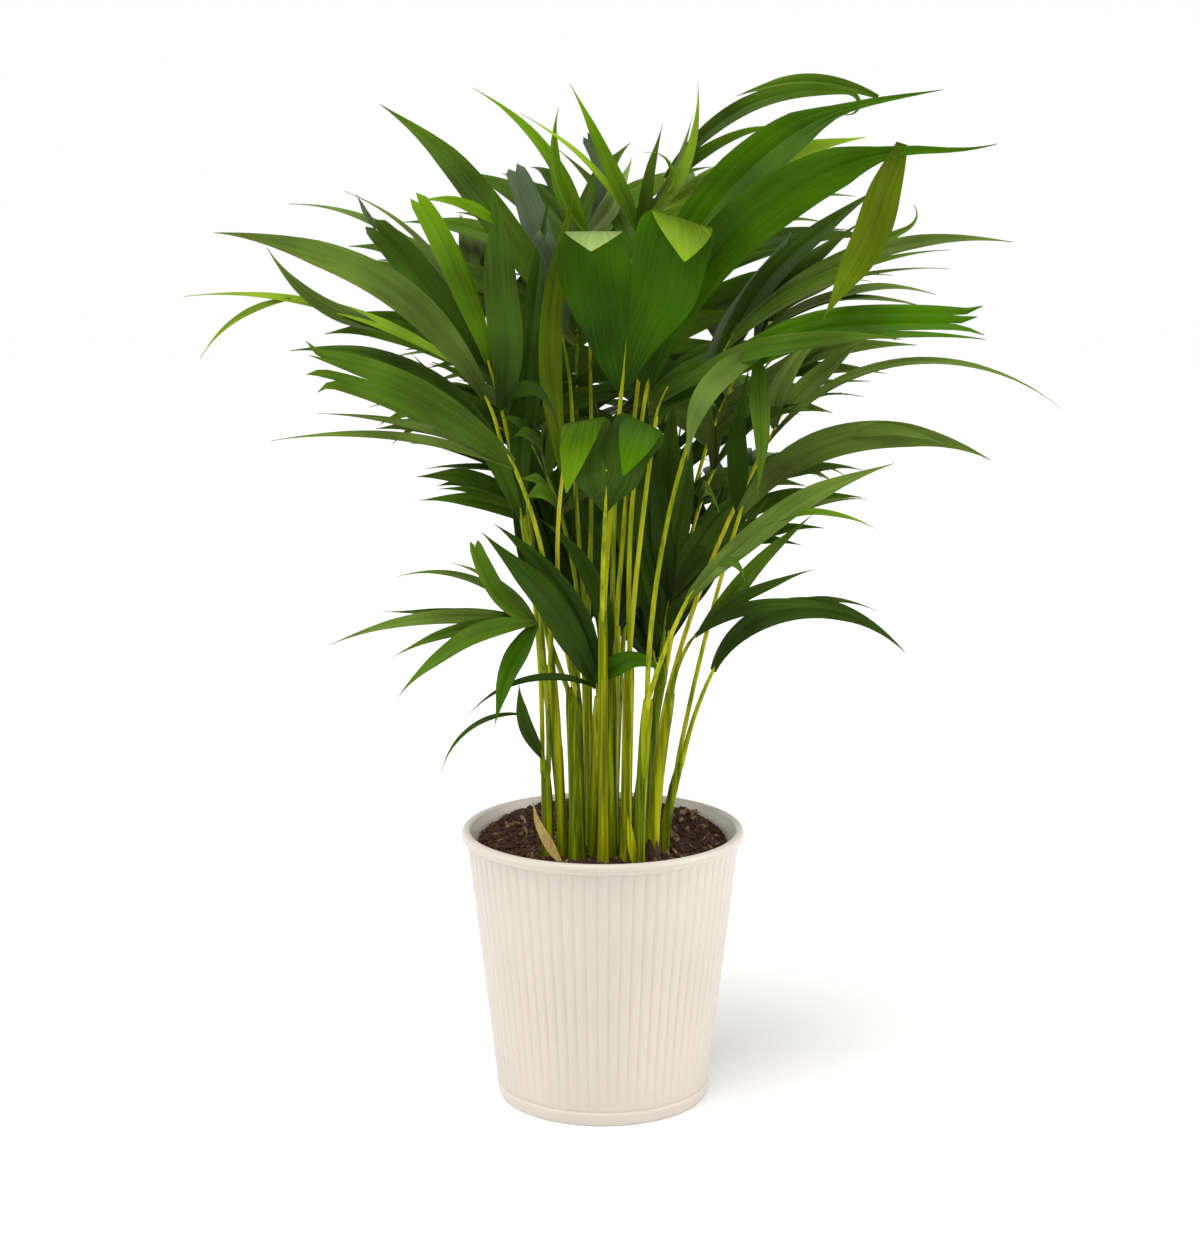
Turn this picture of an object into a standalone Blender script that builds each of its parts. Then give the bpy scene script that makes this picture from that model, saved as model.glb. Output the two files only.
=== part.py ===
"""A young areca palm in a fluted pot: pot, soil, canes and fronds, each its own solid.

Metres, +Z up. The origin is the centre of the pot's flat underside, and the front of the plant
faces -Y. Sizes below are in millimetres and degrees. Directions of canes, stalks and leaflets are
given as seen from the front: 0 is right, 90 is up, 180 is left. Away is how far one leans to the back.
"""

import math
import random

import bmesh
import bpy
from mathutils import Quaternion, Vector
from mathutils.bvhtree import BVHTree

MM = 0.001
GAP = 0.3
SEED = 20

# Pot
POT_HEIGHT = 188.0
POT_FOOT_RADIUS = 71.6
POT_NECK_RADIUS = 93.0
POT_WALL = 3.2
POT_FLOOR = 4.0
RIM_RADIUS = 96.2
RIM_DEPTH = 7.0
RIM_SLOPE = 2.0
RIM_ROUND = 1.2
RIM_TOP_WIDTH = 4.3
INNER_NECK_RADIUS = 85.8
BASE_BEAD_RADIUS = 73.5
BASE_BEAD_HEIGHT = 12.0
BASE_BEAD_SLOPE = 2.0
FLUTES = 72
FLUTE_DEPTH = 0.8
SAME_PLACE = 0.0001

# Soil
SOIL_LEVEL = 180.0
SOIL_EDGE = 176.0
SOIL_FLAT_RADIUS = 80.0
SOIL_RADIUS = 85.2
SOIL_SIDES = 36

# Dry scale leaf: foot right, foot away, direction, away, length, width
HUSK = (-27.5, -63, 131, 10, 46, 7)
HUSK_CURL = 32

# Leaflets, stalks and canes
LEAF_STEPS = 24
LEAF_RINGS = (0, 4, 10, 16, 22)
FAR_LEAF_RINGS = (0, 7, 15, 22)
LEAF_THICKNESS = 0.0125
THINNEST_LEAF = 1.0
MOST_TWIST = 16.0
FRONT_FACING = Vector((0, -0.8, 0.6))
HEAD_ON = 0.2
KEEL_SHARE = 0.45
STALK_STEPS = 24
STALK_RINGS = (0, 4, 8, 12, 16, 20, 24)
STALK_SIDES = 4
CANE_SIDES = 8
CANE_RINGS = 5
CANE_FLARE = 1.22
CANE_BOW = 0.15
CLEARANCE = 0.4
STALK_WIDTH = 3.2
RIB_TIP_WIDTH = 1.6

CANES = {
    # name: foot right, foot away, foot width, tip width, direction, away, height
    "cane_left_outer": (-36, -46, 8.0, 8.0, 92, 0, 58),
    "cane_left_inner": (-27, -47, 6.4, 7.0, 93, 0, 130),
    "cane_left_thick": (-17, -55, 10.0, 9.0, 92, 2, 115),
    "cane_left_slim": (-9, -24, 5.0, 8.0, 91, 2, 142),
    "cane_middle_short": (-7, -46, 6.0, 7.0, 88, -4, 110),
    "cane_front": (0, -66, 6.2, 7.0, 90, 0, 168),
    "cane_middle": (6, -52, 6.0, 7.0, 90, 3, 146),
    "cane_middle_thick": (15, -58, 7.4, 8.0, 89, 3, 134),
    "cane_right_front": (23, -66, 7.0, 8.5, 87, -3, 112),
    "cane_right_brown": (32, -53, 8.4, 8.5, 84, 0, 112),
    "cane_right_outer": (40, -41, 6.6, 7.0, 80, 0, 62),
    "cane_back_left": (-27, -14, 7.0, 8.0, 96, 6, 120),
    "cane_back_low": (-12, 4, 6.4, 8.0, 94, 10, 105),
    "cane_heart": (6, -28, 7.0, 8.0, 89, 4, 150),
    "cane_back_middle": (7, 2, 7.0, 8.0, 88, 10, 118),
    "cane_back_right": (26, -20, 7.0, 8.0, 83, 6, 124),
    "cane_back_far": (22, 10, 6.6, 8.0, 80, 12, 100),
}

# Each frond: its cane, the directions at the stalk's foot, the blade's foot and the tip, how far it
# leans away, the stalk's and the rib's length, and its leaflets.
# A leaflet: place along the rib, first and last direction, length as seen, width, away, shape.
# An eighth value is the number of an earlier leaflet that this one stands on.
PLACED_FRONDS = {
    "frond_heart": ("cane_front", (87, 84, 87), -2, 142, 84, [
        (0.02, 112, 88, 102, 45, -6, "lobe"),
        (0.02, 68, 74, 114, 49, -6, "lobe"),
        (1.0, 264, 262, 12, 36, -40, "flap", 1),
        (1.0, 274, 270, 26, 36, -40, "flap", 2),
    ]),
    "frond_low_split": ("cane_front", (90, 87, 90), -16, 70, 30, [
        (0.05, 111, 95, 60, 34, -8, "lobe"),
        (0.05, 69, 67, 62, 34, -8, "lobe"),
        (1.0, 250, 262, 45, 27, -25, "flap", 1),
        (1.0, 262, 236, 35, 26, -25, "flap", 2),
    ]),
    "frond_two_lobed": ("cane_middle_thick", (93, 80, 68), 6, 178, 18, [
        (0.1, 88, 0, 299, 34, 8, "blade"),
        (0.1, 75, -1, 287, 34, -12, "blade"),
        (0.0, 118, 150, 120, 18, 25, "lance"),
        (0.8, 254, 238, 117, 23, -6, "strap", 2),
    ]),
    "frond_low_left": ("cane_left_outer", (88, 98, 116), -14, 98, 10, [
        (1.0, 166, 202, 132, 11, -12, "lance"),
        (0.9, 171, 182, 99, 8, 6, "lance"),
        (1.0, 173, 207, 92, 10, -20, "lance"),
        (1.0, 175, 232, 98, 13, -30, "lance"),
        (0.9, 234, 260, 66, 15, -25, "lance"),
        (0.8, 151, 99, 71, 15, -5, "blunt"),
        (0.4, 127, 201, 108, 6, 20, "lance"),
        (0.4, 119, 169, 72, 8, 14, "lance"),
    ]),
    "frond_low_strap": ("cane_middle_short", (95, 95, 100), -30, 6, 6, [
        (0.3, 113, 136, 130, 19, -12, "strap"),
        (0.6, 97, 146, 130, 16, -4, "strap"),
        (0.2, 147, 228, 92, 5, -25, "lance"),
        (0.9, 69, 150, 122, 13, 6, "strap"),
        (1.0, 62, -48, 46, 14, -28, "lance"),
    ]),
    "frond_low_folded": ("cane_left_outer", (96, 100, 106), -10, 8, 8, [
        (0.2, 126, 88, 54, 10, -6, "strap"),
        (0.62, 169, 257, 70, 4, -14, "lance", 1),
    ]),
    "frond_right_fan": ("cane_right_outer", (81, 66, 60), -10, 68, 6, [
        (0.2, 72, -46, 156, 15, -18, "strap"),
        (0.8, 58, -26, 124, 9, 12, "lance"),
    ]),
    "frond_right_fan_top": ("cane_right_brown", (84, 60, 32), -4, 36, 10, [
        (1.0, 52, 41, 107, 12, 4, "lance"),
        (0.8, 48, 16, 88, 10, -12, "lance"),
        (0.6, 47, -19, 118, 9, -25, "lance"),
    ]),
    "frond_right_long": ("cane_right_front", (76, 66, 54), -14, 72, 12, [
        (0.2, 55, 19, 158, 15, -16, "strap"),
        (0.45, 30, -4, 66, 5, 10, "lance", 1),
        (0.45, 34, -30, 70, 5, -25, "lance", 1),
        (0.2, 40, -84, 26, 6, -35, "lance", 1),
    ]),
    "frond_left_low": ("cane_left_inner", (86, 112, 140), -10, 135, 26, [
        (0.2, 135, 168, 144, 27, -22, "ragged"),
        (0.8, 124, 188, 152, 13, 4, "strap"),
        (0.2, 146, 176, 124, 7, -30, "lance"),
        (0.05, 150, 186, 148, 8, -34, "lance"),
    ]),
    "frond_left_broad": ("cane_left_inner", (100, 106, 141), 2, 164, 42, [
        (0.35, 115, 178, 207, 21, -16, "strap"),
        (1.0, 148, 187, 194, 9, 16, "lance"),
        (0.62, 187, 238, 79, 5, 16, "lance", 2),
        (0.25, 175, 121, 102, 13, 10, "lance", 2),
    ]),
    "frond_left_upper": ("cane_left_outer", (89, 103, 112), 3, 236, 58, [
        (0.5, 125, 135, 124, 22, 12, "blunt"),
        (1.0, 116, 181, 161, 9, 22, "lance"),
        (0.6, 103, 122, 118, 17, -14, "blunt"),
        (1.0, 113, 161, 133, 5, 34, "lance"),
        (0.1, 56, -80, 76, 10, -34, "lance"),
        (0.0, 84, 100, 150, 24, -14, "strap"),
        (0.95, 124, 116, 26, 4, 12, "lance", 1),
        (0.82, 138, 186, 52, 9, -8, "lance", 6),
    ]),
    "frond_yellow": ("cane_left_thick", (104, 82, 84), -3, 142, 30, [
        (0.1, 102, 73, 179, 15, 4, "strap"),
    ]),
    "frond_dark_left": ("cane_left_thick", (112, 98, 92), 6, 112, 10, [
        (0.5, 90, 80, 204, 18, 12, "strap"),
        (0.3, 110, 138, 120, 13, 22, "lance"),
    ]),
    "frond_left_tall": ("cane_left_slim", (96, 92, 106), 6, 150, 66, [
        (0.8, 112, 147, 195, 21, 16, "strap"),
        (0.85, 99, 116, 116, 19, 24, "blunt"),
        (0.8, 84, 116, 78, 20, -22, "blunt"),
    ]),
    "frond_top_left": ("cane_left_slim", (87, 91, 91), 10, 150, 118, [
        (0.9, 100, 152, 138, 10, 16, "lance"),
        (1.0, 133, 73, 88, 11, -6, "lance"),
        (1.0, 51, 133, 72, 13, 16, "blunt"),
        (1.0, 46, 73, 58, 14, 4, "lance"),
        (0.4, 120, 140, 130, 16, 20, "lance"),
        (0.4, 66, 48, 120, 16, 24, "lance"),
    ]),
    "frond_top_right": ("cane_middle", (90, 86, 80), 6, 164, 104, [
        (0.9, 82, 75, 77, 9, -4, "lance"),
        (1.0, 41, 95, 106, 8, 22, "lance"),
        (1.0, 51, 77, 80, 6, 30, "lance"),
        (0.95, 112, 118, 106, 11, 8, "lance"),
        (0.3, 38, 188, 47, 5, -10, "lance", 3),
        (0.95, 117, 153, 112, 5, 20, "lance"),
    ]),
    "frond_right_upper": ("cane_heart", (86, 83, 81), 8, 193, 104, [
        (1.0, 56, -19, 172, 12, 10, "strap"),
        (0.9, 57, -4, 103, 9, 16, "lance"),
        (0.8, 27, 10, 150, 24, 24, "strap"),
        (0.95, 156, 203, 97, 10, 4, "strap", 1),
        (0.3, 108, 140, 110, 14, 26, "lance"),
    ]),
    "frond_right_mid": ("cane_right_front", (89, 70, 58), 10, 194, 54, [
        (0.3, 67, 27, 172, 16, 14, "strap"),
        (0.9, 47, 32, 113, 13, 24, "strap"),
        (1.0, 37, 22, 146, 12, 2, "strap"),
        (0.9, 47, -8, 192, 12, -10, "strap"),
        (0.8, 46, 3, 153, 8, -16, "lance"),
        (0.7, 48, -3, 152, 5, -22, "lance"),
        (0.05, 66, 56, 122, 20, 18, "strap"),
    ]),
    "frond_right_level": ("cane_middle_thick", (86, 82, 60), -4, 158, 24, [
        (0.2, 41, -9, 218, 24, -10, "ragged"),
        (0.6, 40, -6, 155, 14, -24, "strap"),
        (0.39, 190, 268, 96, 15, -30, "strap", 1),
        (0.34, 276, 262, 84, 13, -26, "lance", 1),
    ]),
    "frond_right_arch": ("cane_right_brown", (76, 63, 63), 2, 158, 40, [
        (0.4, 56, -40, 211, 6, -6, "lance"),
        (0.7, 100, 21, 82, 14, -18, "lance"),
        (1.0, 49, 30, 74, 14, 14, "lance"),
    ]),
    "frond_right_low": ("cane_right_outer", (80, 74, 60), -4, 172, 16, [
        (0.1, 59, -30, 178, 20, -12, "strap"),
        (0.5, 24, -26, 56, 8, -26, "lance", 1),
        (0.0, 96, 76, 96, 14, 12, "lance"),
    ]),
}

# The fronds of the back and the sides follow a rule: cane, heading of the lean (0 right, 90 back),
# rise of the stalk at its foot, at the blade's foot and at the tip, stalk and rib length,
# pairs of leaflets, the longest leaflet's length and width.
RULED_FRONDS = {
    "frond_back_left": ("cane_back_left", 122, (84, 70, 46), 150, 115, 4, 140, 17),
    "frond_back_left_low": ("cane_back_left", 112, (82, 60, 26), 104, 100, 4, 105, 15),
    "frond_back_low": ("cane_back_low", 100, (80, 54, 18), 95, 120, 4, 130, 15),
    "frond_back_tall": ("cane_back_low", 82, (86, 76, 52), 190, 120, 4, 150, 17),
    "frond_back_high": ("cane_back_middle", 62, (85, 72, 46), 170, 130, 4, 150, 17),
    "frond_back_middle": ("cane_back_middle", 104, (83, 64, 34), 140, 120, 4, 145, 16),
    "frond_back_right": ("cane_back_right", 44, (83, 66, 40), 140, 110, 4, 140, 16),
    "frond_back_right_low": ("cane_back_far", 54, (78, 56, 22), 80, 100, 4, 110, 15),
    "frond_back_far": ("cane_back_far", 84, (80, 58, 24), 110, 120, 4, 135, 15),
    "frond_side_right": ("cane_back_right", 14, (84, 74, 52), 96, 80, 3, 100, 14),
    "frond_side_left": ("cane_left_slim", 156, (86, 74, 52), 76, 80, 3, 95, 14),
}

# The dark leaflets deep inside the crown, which grow last
CORE_FRONDS = {
    "frond_core_left": ("cane_back_low", (92, 96, 100), 4, 16, 30, [
        (0.0, 116, 106, 120, 22, 6, "strap"),
        (0.3, 104, 98, 150, 24, 12, "strap"),
        (0.5, 88, 90, 160, 24, 2, "strap"),
        (0.2, 70, 80, 140, 22, 8, "strap"),
        (0.7, 108, 112, 120, 20, -4, "strap"),
        (0.8, 76, 66, 120, 20, -2, "strap"),
    ]),
    "frond_core_middle": ("cane_back_middle", (92, 92, 92), 2, 16, 30, [
        (0.0, 120, 106, 130, 22, 8, "strap"),
        (0.3, 98, 94, 150, 24, 14, "strap"),
        (0.5, 82, 84, 160, 24, 2, "strap"),
        (0.2, 64, 76, 140, 22, 8, "strap"),
        (0.7, 104, 112, 120, 20, -4, "strap"),
        (0.8, 72, 62, 120, 20, -2, "strap"),
    ]),
    "frond_core_right": ("cane_back_right", (88, 84, 80), 2, 16, 30, [
        (0.0, 110, 100, 130, 22, 8, "strap"),
        (0.3, 90, 86, 150, 24, 14, "strap"),
        (0.5, 74, 74, 150, 24, 2, "strap"),
        (0.2, 56, 64, 130, 22, 6, "strap"),
        (0.7, 98, 106, 120, 20, -4, "strap"),
        (0.8, 62, 50, 110, 20, -2, "strap"),
    ]),
    "frond_core_low": ("cane_back_far", (98, 100, 100), 4, 14, 30, [
        (0.0, 124, 108, 130, 22, 2, "strap"),
        (0.3, 104, 96, 150, 24, 8, "strap"),
        (0.5, 86, 84, 150, 24, 0, "strap"),
        (0.2, 66, 70, 130, 22, 6, "strap"),
        (0.7, 112, 118, 120, 20, -6, "strap"),
    ]),
}

# How wide a leaflet is at its root, where along it is widest, how full it stays from there and how
# wide its end is.
LEAF_SHAPES = {
    "lance": (0.30, 0.36, 1.3, 0.0),
    "strap": (0.30, 0.42, 2.0, 0.0),
    "blunt": (0.30, 0.50, 2.6, 0.62),
    "ragged": (0.28, 0.55, 2.4, 0.72),
    "lobe": (0.10, 0.92, 2.0, 0.80),
    "blade": (0.30, 0.50, 1.3, 0.0),
    "flap": (1.00, 0.00, 1.0, 0.0),
}

# Where a leaflet that would touch something is tried next: degrees further away, degrees of twist
# and share of its length.
LEAF_TRIES = (
    (0, 0, 1.0), (5, 0, 1.0), (-5, 0, 1.0), (0, 20, 1.0), (0, -20, 1.0), (10, 0, 1.0), (-10, 0, 1.0),
    (5, 25, 1.0), (-5, -25, 1.0), (15, 0, 1.0), (-15, 0, 1.0), (10, 35, 1.0), (-10, -35, 1.0),
    (20, 15, 1.0), (-20, -15, 1.0), (0, 0, 0.85), (8, 0, 0.85), (-8, 0, 0.85), (0, 40, 0.85),
    (26, 0, 1.0), (-26, 0, 1.0), (0, 0, 0.7), (12, 0, 0.7), (-12, 0, 0.7), (0, 0, 0.55),
)
STALK_TRIES = (0, 2, -2, 4, -4, 6, -6, 8, -8, 11, -11, 14, -14, 18, -18)

# The rule of the back's leaflets: the first pair's place in steps between pairs, degrees from the rib
# at its foot and how much less at its tip, lift over the rib, droop, the tip's rise from which the
# droop gets less and the one at which it ends, and shares of the longest and widest leaflet.
FIRST_PAIR = 0.3
SPLAY = 60
SPLAY_CLOSING = 42
SPLAY_SPREAD = 7
LIFTS = (12, 26)
DROOPS = (38, 66)
FULL_DROOP_RISE = 45
NO_DROOP_RISE = 95
END_PAIR_LENGTH = 0.78
MIDDLE_PAIR_LENGTH = 0.3
LENGTHS = (0.88, 1.08)
WIDTHS = (0.8, 1.1)
LANCES_FROM = 0.9

SHADES = {
    "pot": ((0.72, 0.69, 0.64), 0.35),
    "soil": ((0.035, 0.022, 0.014), 0.95),
    "cane": ((0.26, 0.32, 0.02), 0.45),
    "leaf": ((0.045, 0.13, 0.012), 0.4),
    "husk": ((0.36, 0.25, 0.09), 0.7),
}


def direction(angle, away):
    """The unit direction seen at this angle from the front that leans this far away."""
    seen, back = math.radians(angle), math.radians(away)
    return Vector((math.cos(seen) * math.cos(back), math.sin(back), math.sin(seen) * math.cos(back)))


def leaning(heading, rise):
    """The unit direction with this compass heading and this rise above the horizon."""
    turn, lift = math.radians(heading), math.radians(rise)
    return Vector((math.cos(turn) * math.cos(lift), math.sin(turn) * math.cos(lift), math.sin(lift)))


def run(start, first, last, length, steps):
    """Points of a limb that sets out in one direction and turns evenly to another."""
    points = [start.copy()]
    for step in range(steps):
        points.append(points[-1] + first.slerp(last, (step + 0.5) / steps) * (length / steps))
    return points


def along(points, share):
    """The place at this share of a limb's points."""
    at = share * (len(points) - 1)
    low = min(int(at), len(points) - 2)
    return points[low].lerp(points[low + 1], at - low)


def tangent(points, index):
    """The direction of a limb at one of its points."""
    return (points[min(index + 1, len(points) - 1)] - points[max(index - 1, 0)]).normalized()


def breadth(shape, share):
    """A leaflet's width at this share of its length, as a share of its widest."""
    root, widest, fullness, end = LEAF_SHAPES[shape]
    if share < widest:
        return root + (1 - root) * math.sin(share / widest * math.pi / 2)
    return end + (1 - end) * (1 - ((share - widest) / (1 - widest)) ** fullness)


def across(points, facing, twist):
    """The sideways direction of a blade at each of its points, its face turned to facing and then twisted."""
    head = tangent(points, 0)
    side = head.cross(facing)
    if side.length < HEAD_ON:
        side = head.cross(Vector((1, 0, 0)))
    side.rotate(Quaternion(head, math.radians(twist)))
    sides = []
    for index in range(len(points)):
        way = tangent(points, index)
        side = (side - way * side.dot(way)).normalized()
        sides.append(side.copy())
    return sides


def loft(mesh, rings, tip=None):
    """A closed skin over rings of corners, ending in a point where a tip is given."""
    corners = [[mesh.verts.new(corner * MM) for corner in ring] for ring in rings]
    count = len(corners[0])
    for low, high in zip(corners, corners[1:]):
        for index in range(count):
            after = (index + 1) % count
            mesh.faces.new((low[index], low[after], high[after], high[index]))
    mesh.faces.new(reversed(corners[0]))
    if tip is None:
        mesh.faces.new(corners[-1])
    else:
        point = mesh.verts.new(tip * MM)
        for index in range(count):
            mesh.faces.new((corners[-1][index], corners[-1][(index + 1) % count], point))
    bmesh.ops.recalc_face_normals(mesh, faces=mesh.faces)


def blade(leaf, swell=0.0):
    """A leaflet as a closed blade: two edges and a keel under its rib. Swell makes it larger all round."""
    mesh = bmesh.new()
    points, sides = leaf["points"], leaf["sides"]
    thick = max(THINNEST_LEAF, LEAF_THICKNESS * leaf["length"])
    rings = []
    for index in leaf["rings"]:
        share = breadth(leaf["shape"], index / LEAF_STEPS)
        up = sides[index].cross(tangent(points, index))
        half = sides[index] * (leaf["width"] / 2 * share + swell)
        lift = up * (thick / 2 * max(share, KEEL_SHARE) + swell)
        rings.append((points[index] + half + lift, points[index] - half + lift, points[index] - lift))
    loft(mesh, rings, points[-1] + tangent(points, LEAF_STEPS) * swell)
    return mesh


def tube(points, widths, sides, level, swell=0.0):
    """A round limb of these widths through these points, with its rings at the level places kept flat."""
    mesh = bmesh.new()
    rings = []
    for index, (point, width) in enumerate(zip(points, widths)):
        way = tangent(points, index)
        if index in level:
            way = Vector((0, 0, 1))
        right = Vector((0, 1, 0)).cross(way).normalized()
        back = way.cross(right)
        radius = width / 2 + swell
        turns = [2 * math.pi * corner / sides for corner in range(sides)]
        rings.append([point + (right * math.cos(turn) + back * math.sin(turn)) * radius for turn in turns])
    loft(mesh, rings)
    return mesh


def tree_of(mesh):
    """A search tree of a mesh, which is then freed."""
    tree = BVHTree.FromBMesh(mesh)
    mesh.free()
    return tree


class Space:
    """What already stands in the clump, so that what comes next keeps clear of it."""

    def __init__(self):
        self.held = []

    def add(self, owner, tree):
        self.held.append((owner, tree))

    def clear(self, tree, *own):
        return not any(owner not in own and tree.overlap(other) for owner, other in self.held)


def cane_points(row):
    """The points of a cane, from its flat foot to its flat top."""
    right, away, _, _, angle, lean, height = row
    foot = Vector((right, away, SOIL_LEVEL + GAP))
    way = direction(angle, lean)
    bow = Vector((-way.x, -way.y, 0)) * CANE_BOW
    points = []
    for index in range(CANE_RINGS):
        share = index / (CANE_RINGS - 1)
        points.append(foot + way * height * share / way.z + bow * height * share * (1 - share) * 4)
    return points


def cane_widths(row):
    """The widths of a cane: flared at its foot, then an even taper."""
    _, _, foot, top, _, _, _ = row
    widths = [foot + (top - foot) * index / (CANE_RINGS - 1) for index in range(CANE_RINGS)]
    widths[0] *= CANE_FLARE
    return widths


def stalk_ways(row):
    """The three directions of a frond's stalk and rib: at the foot, at the blade's foot and at the tip."""
    if isinstance(row[1], tuple):
        return [direction(angle, row[2]) for angle in row[1]]
    return [leaning(row[1], rise) for rise in row[2]]


def stalk_points(foot, ways, stalk, rib):
    """The points of a stalk and the rib that it goes on as."""
    half = STALK_STEPS // 2
    points = run(foot, ways[0], ways[1], stalk, half)
    return points + run(points[-1], ways[1], ways[2], rib, half)[1:]


def stalk_widths(count):
    """The widths of a stalk and its rib, from foot to tip."""
    return [STALK_WIDTH + (RIB_TIP_WIDTH - STALK_WIDTH) * index / (count - 1) for index in range(count)]


def seats(cane, rows):
    """Where each frond of a cane stands on its top, in the order of the ways they lean."""
    if len(rows) == 1:
        return {name: Vector((0, 0, 0)) for name in rows}
    top = CANES[cane][3]
    reach = top / 2 - STALK_WIDTH / 2
    lean = {name: stalk_ways(row)[1].to_2d() for name, row in rows.items()}
    middle = sum(lean.values(), Vector((0, 0))) / len(lean)
    turned_to = {name: math.atan2(*reversed(way - middle)) for name, way in lean.items()}
    order = sorted(turned_to, key=turned_to.get)
    start = turned_to[order[0]]
    places = {}
    for index, name in enumerate(order):
        turn = start + 2 * math.pi * index / len(order)
        places[name] = Vector((math.cos(turn), math.sin(turn), 0)) * reach
    return places


def pushed(way, push, degrees):
    """A direction turned this many degrees towards another."""
    return (way + push * math.tan(math.radians(degrees))).normalized()


def placed_leaves(row):
    """The leaflets of a frond whose rows say where each one reaches."""
    leaves = []
    for place, first, last, length, width, away, shape, *stands_on in row[5]:
        leaves.append({
            "place": place,
            "on": stands_on[0] if stands_on else None,
            "ways": (direction(first, away), direction(last, away)),
            "length": length / math.cos(math.radians(away)),
            "width": width,
            "shape": shape,
            "facing": FRONT_FACING,
            "push": Vector((0, 1, 0)),
        })
    return leaves


def ruled_leaves(row, rib, chance):
    """The leaflets of a frond that follows the rule: pairs that lie closer to the rib towards its tip."""
    _, _, rises, _, _, pairs, longest, widest = row
    down = Vector((0, 0, -1))
    hang = min(1.0, (NO_DROOP_RISE - rises[2]) / (NO_DROOP_RISE - FULL_DROOP_RISE))
    leaves = []
    for pair in range(pairs + 1):
        place = min(1.0, (pair + FIRST_PAIR) / pairs)
        way = tangent(rib, round(place * (len(rib) - 1)))
        for hand in (-1, 1):
            side = way.cross(Vector((0, 0, 1))).normalized() * hand
            face = side.cross(way) * hand
            splay = math.radians(SPLAY - SPLAY_CLOSING * place + chance.uniform(-SPLAY_SPREAD, SPLAY_SPREAD))
            lift = math.radians(chance.uniform(*LIFTS))
            first = way * math.cos(splay) + (side * math.cos(lift) + face * math.sin(lift)) * math.sin(splay)
            droop = chance.uniform(*DROOPS) * hang / math.degrees(first.angle(down))
            reach = END_PAIR_LENGTH + MIDDLE_PAIR_LENGTH * math.sin(place * math.pi)
            leaves.append({
                "place": place,
                "on": None,
                "ways": (first, first.slerp(down, droop)),
                "length": longest * reach * chance.uniform(*LENGTHS),
                "width": widest * chance.uniform(*WIDTHS),
                "shape": "lance" if place > LANCES_FROM else "strap",
                "facing": face,
                "push": face,
            })
    return leaves


def grown_leaf(leaf, root, shift, twist, share):
    """A leaflet that stands at its root, moved and shortened as a try says."""
    first, last = (pushed(way, leaf["push"], shift) for way in leaf["ways"])
    points = run(root, first, last, leaf["length"] * share, LEAF_STEPS)
    sides = across(points, leaf["facing"], leaf["twist"] + twist)
    return dict(leaf, points=points, sides=sides, length=leaf["length"] * share)


def grow_stalk(name, row, foot, space):
    """The points of a frond's stalk and rib, which keep clear of what already stands."""
    foot_way, blade_way, tip_way = stalk_ways(row)
    push = Vector((0, 1, 0)) if isinstance(row[1], tuple) else foot_way.cross(blade_way).normalized()
    for shift in STALK_TRIES:
        ways = (pushed(foot_way, push, shift / 2), pushed(blade_way, push, shift), pushed(tip_way, push, shift))
        points = stalk_points(foot, ways, row[3], row[4])
        if space.clear(tree_of(stalk_mesh(points, CLEARANCE)), row[0]):
            space.add(name, tree_of(stalk_mesh(points)))
            return points
    raise RuntimeError(f"{name} finds no way up")


def stalk_mesh(points, swell=0.0):
    """The mesh of a stalk and its rib."""
    widths = stalk_widths(len(points))
    return tube([points[i] for i in STALK_RINGS], [widths[i] for i in STALK_RINGS], STALK_SIDES, (0,), swell)


def grow_frond(name, row, foot, space):
    """A frond as (stalk points, leaflets). A leaflet that finds no clear place is left out."""
    chance = random.Random(f"{SEED} {name}")
    points = grow_stalk(name, row, foot, space)
    rib = points[STALK_STEPS // 2:]
    wanted = placed_leaves(row) if isinstance(row[1], tuple) else ruled_leaves(row, rib, chance)
    grown = []
    for leaf in wanted:
        leaf["twist"] = chance.uniform(-MOST_TWIST, MOST_TWIST)
        leaf["rings"] = LEAF_RINGS if name in PLACED_FRONDS else FAR_LEAF_RINGS
        base = rib if leaf["on"] is None else grown[leaf["on"] - 1] and grown[leaf["on"] - 1]["points"]
        grown.append(base and settled_leaf(name, leaf, along(base, leaf["place"]), space))
    return points, [leaf for leaf in grown if leaf]


def settled_leaf(name, leaf, root, space):
    """The leaflet at the first of its tries that touches nothing, or None."""
    for shift, twist, share in LEAF_TRIES:
        trial = grown_leaf(leaf, root, shift, twist, share)
        if space.clear(tree_of(blade(trial, CLEARANCE)), name):
            space.add(name, tree_of(blade(trial)))
            return trial
    return None


def material(name):
    """One of the part's plain finishes."""
    made = bpy.data.materials.get(name)
    if made is None:
        colour, roughness = SHADES[name]
        made = bpy.data.materials.new(name)
        made.use_nodes = True
        shader = made.node_tree.nodes["Principled BSDF"]
        shader.inputs["Base Color"].default_value = (*colour, 1)
        shader.inputs["Roughness"].default_value = roughness
    return made


def node(name, mesh, shade, collection=None):
    """An object of this mesh, which it frees."""
    data = bpy.data.meshes.new(name)
    mesh.to_mesh(data)
    mesh.free()
    data.materials.append(material(shade))
    made = bpy.data.objects.new(name, data)
    (collection or bpy.context.scene.collection).objects.link(made)
    return made


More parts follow.
